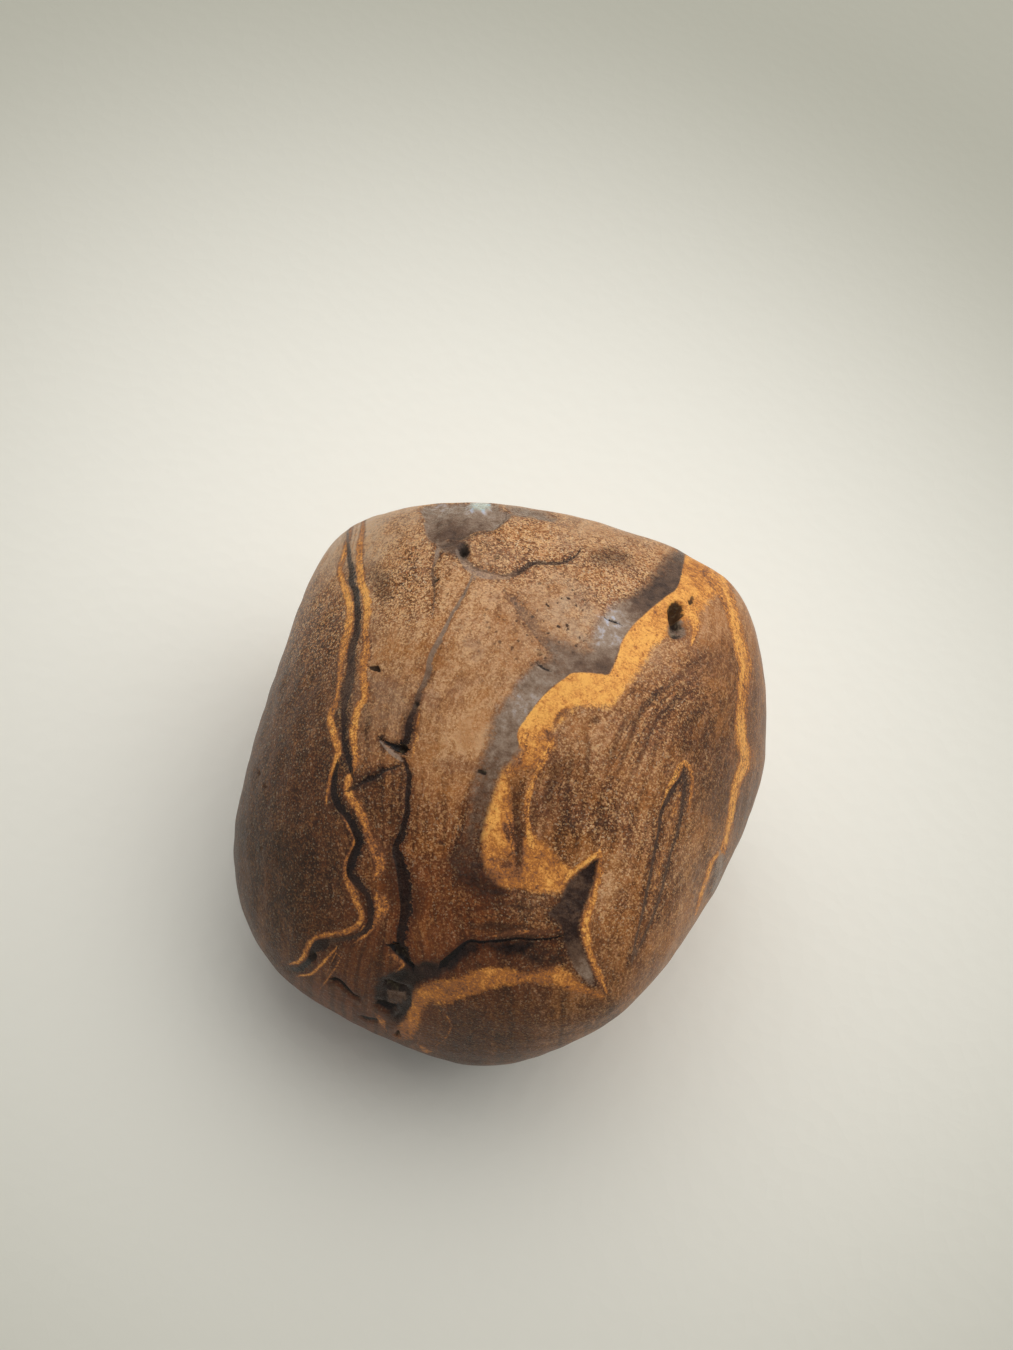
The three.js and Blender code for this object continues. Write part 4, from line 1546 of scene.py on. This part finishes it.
        # pinholes: dark dots of painted shade, for holes too small to be cut into the mesh
        chance, _, reach = wires.grains(self.pore_spacing)
        ragged = reach + wires.wobble(0.25, 3.0, 0.7) * 1.1
        painted_pinhole = wires.span(ragged, 0.28, 0.1) * wires.span(chance, 0.3, 0.4) * wires.attribute("pores")
        return wires.lay(
            wires.blend(greyed, brown, wires.ramp(tone, self.grey)),
            (self.rust, wires.attribute("rust") * wires.span(streak, 0.35, 0.65, 0.45, 1.0)),
            (self.ember, wires.span(wires.tint, 0.3, 0.12) * (0.05 + glitter * 0.6)),
            # golden grains with painted sparkle, then pale specks of painted sparkle
            (self.gold, wires.span(grain, 0.6, 0.85) * (0.04 + glitter * 0.8) * lit),
            (self.pale, wires.span(wires.tint, 0.93, 0.97) * (0.06 + glitter * 0.6)),
            (self.speckle, wires.span(grain, 0.34, 0.2) * (0.05 + glitter * 0.5)),
            (self.umber, shade),
            (self.umber, painted_pinhole),
        )

    def ochre_colour(self, wires: StoneWires, ground: Value) -> tuple[Value, Value]:
        """The ochre patches and seams over the ground.

        Clouds, lumps, crumbs, grains and shade shift their tones. The seams are threaded, and
        duller along their sides.

        Args:
            wires: the material.
            ground: the ground's colour.

        Returns:
            The colour, and how much of it is ochre, from 0 to 1.
        """
        frayed, shade = wires.frayed, wires.shade
        cloud, lumps = wires.wobble(1.6, 4.0, 0.62), wires.wobble(0.5, 4.0, 0.65)
        crumbs = wires.span(wires.noise(0.3, 3.0, 0.6), 0.56, 0.7)
        shift = cloud * 0.8 + lumps - (wires.grain - 0.5) * 0.3 + crumbs * 0.3 + shade * 0.8
        cover = wires.attribute("lens_cover") + cloud * 0.8 + frayed * 0.8 - shade * 0.55
        patch = wires.patch_mask("lens") * wires.span(cover, 0.1, 0.6)
        tone = wires.attribute("lens_tone") + shift - wires.grain * 0.2 + 0.1
        colour = wires.blend(patch, ground, wires.ramp(tone, self.ochre))
        thread = wires.threads("ochre")
        cover = wires.span(wires.attribute("ochre_cover") + frayed * 1.3 + thread, 0.2, 0.75)
        seam = wires.seam_mask("ochre", frayed + thread * 0.3, 0.08) * cover
        rind = wires.span(abs(wires.attribute("ochre_side")) / wires.attribute("ochre_half"), 0.3, 1.1)
        shift = shift + thread * 1.3 + rind * 0.4 - wires.grain * 0.5 + 0.13
        ochre = wires.ramp(wires.attribute("ochre_tone") + shift, self.ochre)
        return wires.blend(seam * self.seam_strength, colour, ochre), wires.larger(patch, seam)

    def dark_colour(self, wires: StoneWires, under: Value) -> tuple[Value, Value]:
        """The dark patches and seams over what is under them.

        A painted glint, a highlight in the colour, lies on the palest silica where its mottle is high, and
        a tone past 1 turns it into opal.

        Args:
            wires: the material.
            under: the colour under them.

        Returns:
            The colour, and how much of it is dark, from 0 to 1.
        """
        mottle, own_tone = wires.noise(0.5, 4.0, 0.6), wires.attribute("slate_tone")
        cover = wires.attribute("slate_cover") + (mottle - 0.5) * 0.6 + wires.frayed
        patch = wires.patch_mask("slate") * wires.span(cover, 0.1, 0.8)
        shift = (mottle - 0.5) * 0.7 + (wires.grain - 0.5) * 0.1
        tone = own_tone + shift
        # painted highlight: glints on the palest silica, where its mottle is high
        painted_glint_mask = wires.span(mottle, 0.54, 0.64) * wires.span(own_tone, 0.78, 1.0)
        slate = wires.lay(wires.ramp(tone, self.silica), (self.glint, painted_glint_mask))
        play = wires.ramp(wires.noise(0.5), self.opal)
        colour = wires.blend(patch, under, wires.blend(wires.span(tone, 1.0, 1.45), slate, play))
        worn = wires.frayed + wires.threads("iron") * 0.25
        seam = wires.seam_mask("iron", worn, 0.05) * wires.attribute("iron_cover")
        iron = wires.ramp(wires.attribute("iron_tone") + shift * 0.6 - 0.04, self.silica)
        return wires.blend(seam, colour, iron), wires.larger(patch, seam)


@dataclass(frozen=True)
class PaperFinish:
    """Matt paper with a faint pebbled grain, and a painted pool of light: palest around the stone, darker
    further out.
    """

    colour: Colour = paint(250, 249, 241)
    painted_falloff_colour: Colour = paint(182, 182, 170)
    # middle and reach place a painted pool of light: the paper is palest about the middle and darkens
    # outwards
    middle: tuple[float, float] = (-2.0, 17.0)  # mm: where the paper is palest
    reach: tuple[float, float] = (14.0, 86.0)  # mm from there: where it begins and ends to darken
    roughness: float = 0.85
    gloss: float = 0.3
    grain: float = 1.3  # mm: one lump of the grain
    relief: float = 0.0001  # metres

    def dress(self, sheet: bpy.types.Object) -> None:
        """Gives a sheet of paper this finish.

        Args:
            sheet: its object.
        """
        wires = Wires("pale paper")
        offset = wires.reckon("SUBTRACT", wires.place, (*self.middle, 0.0))
        length = wires.output(wires.node("VectorMath", {0: offset}, operation="LENGTH"), "Value")
        wires.wear(wires.grains(self.grain)[2], self.relief, 0.3)
        # painted pool of light: pale paper near the stone, darker further out
        colour = wires.blend(wires.span(length, *self.reach), self.colour, self.painted_falloff_colour)
        wires.put_on(sheet, colour, self.roughness, self.gloss)


# ---- the stone


def mesh_object(name: str, points: Array, faces: Array) -> bpy.types.Object:
    """A new object in the scene.

    Args:
        name: its name.
        points: rows (x, y, z) in metres.
        faces: rows of four vertex numbers.

    Returns:
        The object, at the origin.
    """
    mesh = bpy.data.meshes.new(name)
    mesh.from_pydata(points.tolist(), [], faces.tolist())
    mesh.update()
    thing = bpy.data.objects.new(name, mesh)
    bpy.context.collection.objects.link(thing)
    return thing


@dataclass
class Pebble:
    """The stone: one closed worn pebble with its marks."""

    block: WornBlock = field(default_factory=WornBlock)
    sheet: Sheet = field(default_factory=Sheet)
    splits: int = 127  # squares along each edge of the cube that the mesh is made from
    crowding: float = 0.3  # how much finer the mesh is on the drawn face
    wandering: tuple[RoughField, RoughField] = (RoughField(11, 15.0), RoughField(12, 15.0))
    wander_most: float = 5.0  # mm
    wander_turn: tuple[float, float] = (-0.05, 0.6)  # of facing away, over which the wandering grows
    waves: tuple[RoughField, RoughField] = (RoughField(1, 6.0), RoughField(2, 2.2))
    wave_heights: tuple[float, float] = (0.05, 0.03)  # mm
    wear: float = 0.06  # mm off the whole form
    seam_lip: tuple[float, float] = (-0.1, 0.08)  # mm of depth, over which a seam's groove begins
    crumbling: RoughField = RoughField(3, 0.9)
    crumble_share: float = 0.35  # of how far a dark band is sunk
    finish: StoneFinish = field(default_factory=StoneFinish)
    iron: SeamSheet = field(default_factory=lambda: SeamSheet(DARK_SEAMS + FAR_CRACKS))
    ochre: SeamSheet = field(default_factory=lambda: SeamSheet(OCHRE_SEAMS + FAR_THREADS))
    ochre_areas: PatchSheet = field(default_factory=lambda: PatchSheet(OCHRE_PATCHES))
    dark_areas: PatchSheet = field(default_factory=lambda: PatchSheet(DARK_PATCHES))
    shade: SeamSheet = field(default_factory=lambda: SeamSheet(SHADES))
    ground: Ground = field(default_factory=lambda: Ground(ZONES, LAYER_GUIDES))
    pits: PitSheet = field(default_factory=lambda: PitSheet(PITS + FAR_PITS))

    def middle(self, low: Array, high: Array, splits: int = 40) -> Array:
        """Where the middle of the form is while the form stands on the ground, centred in the box.

        Args:
            low: the box's lowest corner, in metres.
            high: its highest corner, in metres.
            splits: how finely the form is measured.

        Returns:
            The point (x, y, z) in metres.
        """
        bare, _ = self.block.surface(crowded_sphere(splits, self.sheet.back, 0.0)[0])
        x, y, _ = 0.5 * (low + high) - 0.5 * (bare.min(axis=0) + bare.max(axis=0)) * METRE
        return np.array([x, y, self.block.rest_cut * METRE])

    def build(self, low: Array, high: Array) -> bpy.types.Object:
        """Makes the stone so that its box runs from low to high.

        Args:
            low: the box's lowest corner, in metres.
            high: its highest corner, in metres.

        Returns:
            The stone's object, at the origin.
        """
        directions, quads = crowded_sphere(self.splits, self.sheet.back, self.crowding)
        points, normals = self.block.surface(directions)
        skin = Skin(points, self.carried_round(points, normals), self.sheet.facing(points, normals))
        lines, areas = (self.iron, self.ochre, self.shade), (self.ochre_areas, self.dark_areas)
        for layer in (*lines, *areas, self.ground, self.pits):
            layer.lay_on(skin)
        worn = points - normals * self.sinking(skin)[:, None]
        bottom, top = worn.min(axis=0), worn.max(axis=0)
        fitted = low + (worn - bottom) / (top - bottom) * (high - low)
        LOG.info("stone stretched by %s", np.round((high - low) / (top - bottom) / METRE, 5).tolist())
        stone = mesh_object("tumbled_stone", fitted, quads)
        stone.data.shade_smooth()
        self.write_attributes(stone.data)
        return stone

    def carried_round(self, points: Array, normals: Array) -> Array:
        """Where points are drawn, wandering more the further they turn from the eye.

        The far side shows the same seams as the near one, moved by a smooth random field, so that
        it is not a mirror image.

        Args:
            points: rows (x, y, z) in mm from the middle of the stone.
            normals: the form's unit normal at each point.

        Returns:
            Rows (x, y) in mm.
        """
        behind = smooth_step(-self.sheet.facing(points, normals), *self.wander_turn)[:, None]
        wander = np.stack([rough.at(points) for rough in self.wandering], axis=-1)
        return self.sheet.draw(points) + self.wander_most * behind * wander

    def sinking(self, skin: Skin) -> Array:
        """How far the surface lies under the form.

        It is the sum of the wear, the waves, the grooves of the dark seams, the sunk bands, whose
        dark ones crumble, and the pits.

        Args:
            skin: the stone's surface, with every mark laid on it.

        Returns:
            Depths in mm, one for each point.
        """
        waves = sum(height * rough.at(skin.points) for height, rough in zip(self.wave_heights, self.waves))
        seams = self.iron.groove * smooth_step(self.iron.depth, *self.seam_lip)
        crumbs = self.crumble_share * self.dark_areas.sink * self.crumbling.at(skin.points)
        bands = self.dark_areas.sink + self.ochre_areas.sink + crumbs
        return self.wear + waves + seams + bands + self.pits.sink

    def write_attributes(self, mesh: bpy.types.Mesh) -> None:
        """Writes what the finish reads onto the mesh, one number for each vertex."""
        numbers = {
            **self.iron.numbers("iron"),
            **self.ochre.numbers("ochre"),
            **self.shade.numbers("shade"),
            **self.ochre_areas.numbers("lens"),
            **self.dark_areas.numbers("slate"),
            **self.ground.values,
            "pit_shade": self.pits.pit_shade,
        }
        for name, values in numbers.items():
            attribute = mesh.attributes.new(name, "FLOAT", "POINT")
            attribute.data.foreach_set("value", np.ascontiguousarray(values, dtype=np.float32))

    def dress(self, stone: bpy.types.Object) -> None:
        """Gives the stone its finish."""
        self.finish.dress(stone)


# ---- the studio


@dataclass(frozen=True)
class Studio:
    """The paper, the lights and the camera."""

    sheet: Sheet = field(default_factory=Sheet)
    paper: PaperFinish = field(default_factory=PaperFinish)
    lens: float = 56.0  # mm
    paper_side: float = 3.0  # metres
    light_way: tuple[float, float] = (74.0, 68.0)  # azimuth and elevation, in degrees
    light_distance: float = 0.5  # metres
    light_size: float = 0.9  # metres
    light_power: float = 1.9  # watts
    light_colour: Colour = (1.0, 0.96, 0.9)
    sky: Colour = (0.83, 0.83, 0.82)
    sky_strength: float = 0.8
    dim_strength: float = 0.12  # of the sky about the eye, where the room is dark
    dim_reach: tuple[float, float] = (0.7, 0.96)  # cosines of the angle from the eye, as the sky dims
    clip: tuple[float, float] = (0.01, 20.0)  # metres that the camera sees

    def lay_paper(self) -> bpy.types.Object:
        """Lays a flat square of paper under the stone.

        Returns:
            The paper's object.
        """
        half = self.paper_side / 2.0
        corners = np.array([(-half, -half, 0.0), (half, -half, 0.0), (half, half, 0.0), (-half, half, 0.0)])
        paper = mesh_object("paper", corners, np.array([[0, 1, 2, 3]]))
        self.paper.dress(paper)
        return paper

    def hang_lights(self) -> None:
        """Hangs a large soft lamp above and behind, and a pale sky that is dim about the eye."""
        data = bpy.data.lights.new("soft lamp", "AREA")
        data.shape = "DISK"
        data.size = self.light_size
        data.energy = self.light_power
        data.color = self.light_colour
        lamp = bpy.data.objects.new("soft lamp", data)
        way = Vector(directions_of(np.array([self.light_way[0]]), np.array([self.light_way[1]]))[0])
        lamp.location = way * self.light_distance
        lamp.rotation_euler = way.to_track_quat("Z", "Y").to_euler()
        bpy.context.collection.objects.link(lamp)
        world = bpy.data.worlds.new("sky")
        bpy.context.scene.world = world
        world.use_nodes = True
        nodes, links = world.node_tree.nodes, world.node_tree.links
        way_in = nodes.new("ShaderNodeTexCoord")
        towards = nodes.new("ShaderNodeVectorMath")
        towards.operation = "DOT_PRODUCT"
        towards.inputs[1].default_value = self.sheet.back
        dimming = nodes.new("ShaderNodeMapRange")
        dimming.interpolation_type = "SMOOTHSTEP"
        limits = (*self.dim_reach, self.sky_strength, self.dim_strength)
        for name, limit in zip(("From Min", "From Max", "To Min", "To Max"), limits):
            dimming.inputs[name].default_value = limit
        background = nodes["Background"]
        background.inputs["Color"].default_value = (*self.sky, 1.0)
        links.new(way_in.outputs["Generated"], towards.inputs[0])
        links.new(towards.outputs["Value"], dimming.inputs["Value"])
        links.new(dimming.outputs["Result"], background.inputs["Strength"])

    def place_camera(self, middle: Array) -> None:
        """Puts the camera at the sheet's eye.

        Args:
            middle: where the middle of the form is, in metres.
        """
        data = bpy.data.cameras.new("camera")
        data.lens = self.lens
        data.clip_start, data.clip_end = self.clip
        camera = bpy.data.objects.new("camera", data)
        axes = Matrix(np.stack([self.sheet.right, self.sheet.up, self.sheet.back], axis=1).tolist())
        camera.matrix_world = Matrix.Translation(Vector(middle + self.sheet.eye * METRE)) @ axes.to_4x4()
        bpy.context.collection.objects.link(camera)
        bpy.context.scene.camera = camera


def main() -> None:
    """Builds the stone on its paper, under its lights."""
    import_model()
    cad_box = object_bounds()
    low, high = (np.array(corner) for corner in cad_box)
    pebble = Pebble()
    studio = Studio(sheet=pebble.sheet)
    studio.place_camera(pebble.middle(low, high))
    LOG.info("camera placed")
    stone = pebble.build(low, high)
    pebble.dress(stone)
    LOG.info("%s: %d vertices", stone.name, len(stone.data.vertices))
    paper = studio.lay_paper()
    studio.hang_lights()
    LOG.info("paper and lights")
    bpy.context.scene.view_settings.view_transform = "Standard"
    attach(stone, BODY)
    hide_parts(NODE)


if __name__ == "__main__":
    logging.basicConfig(level=logging.INFO)
    main()
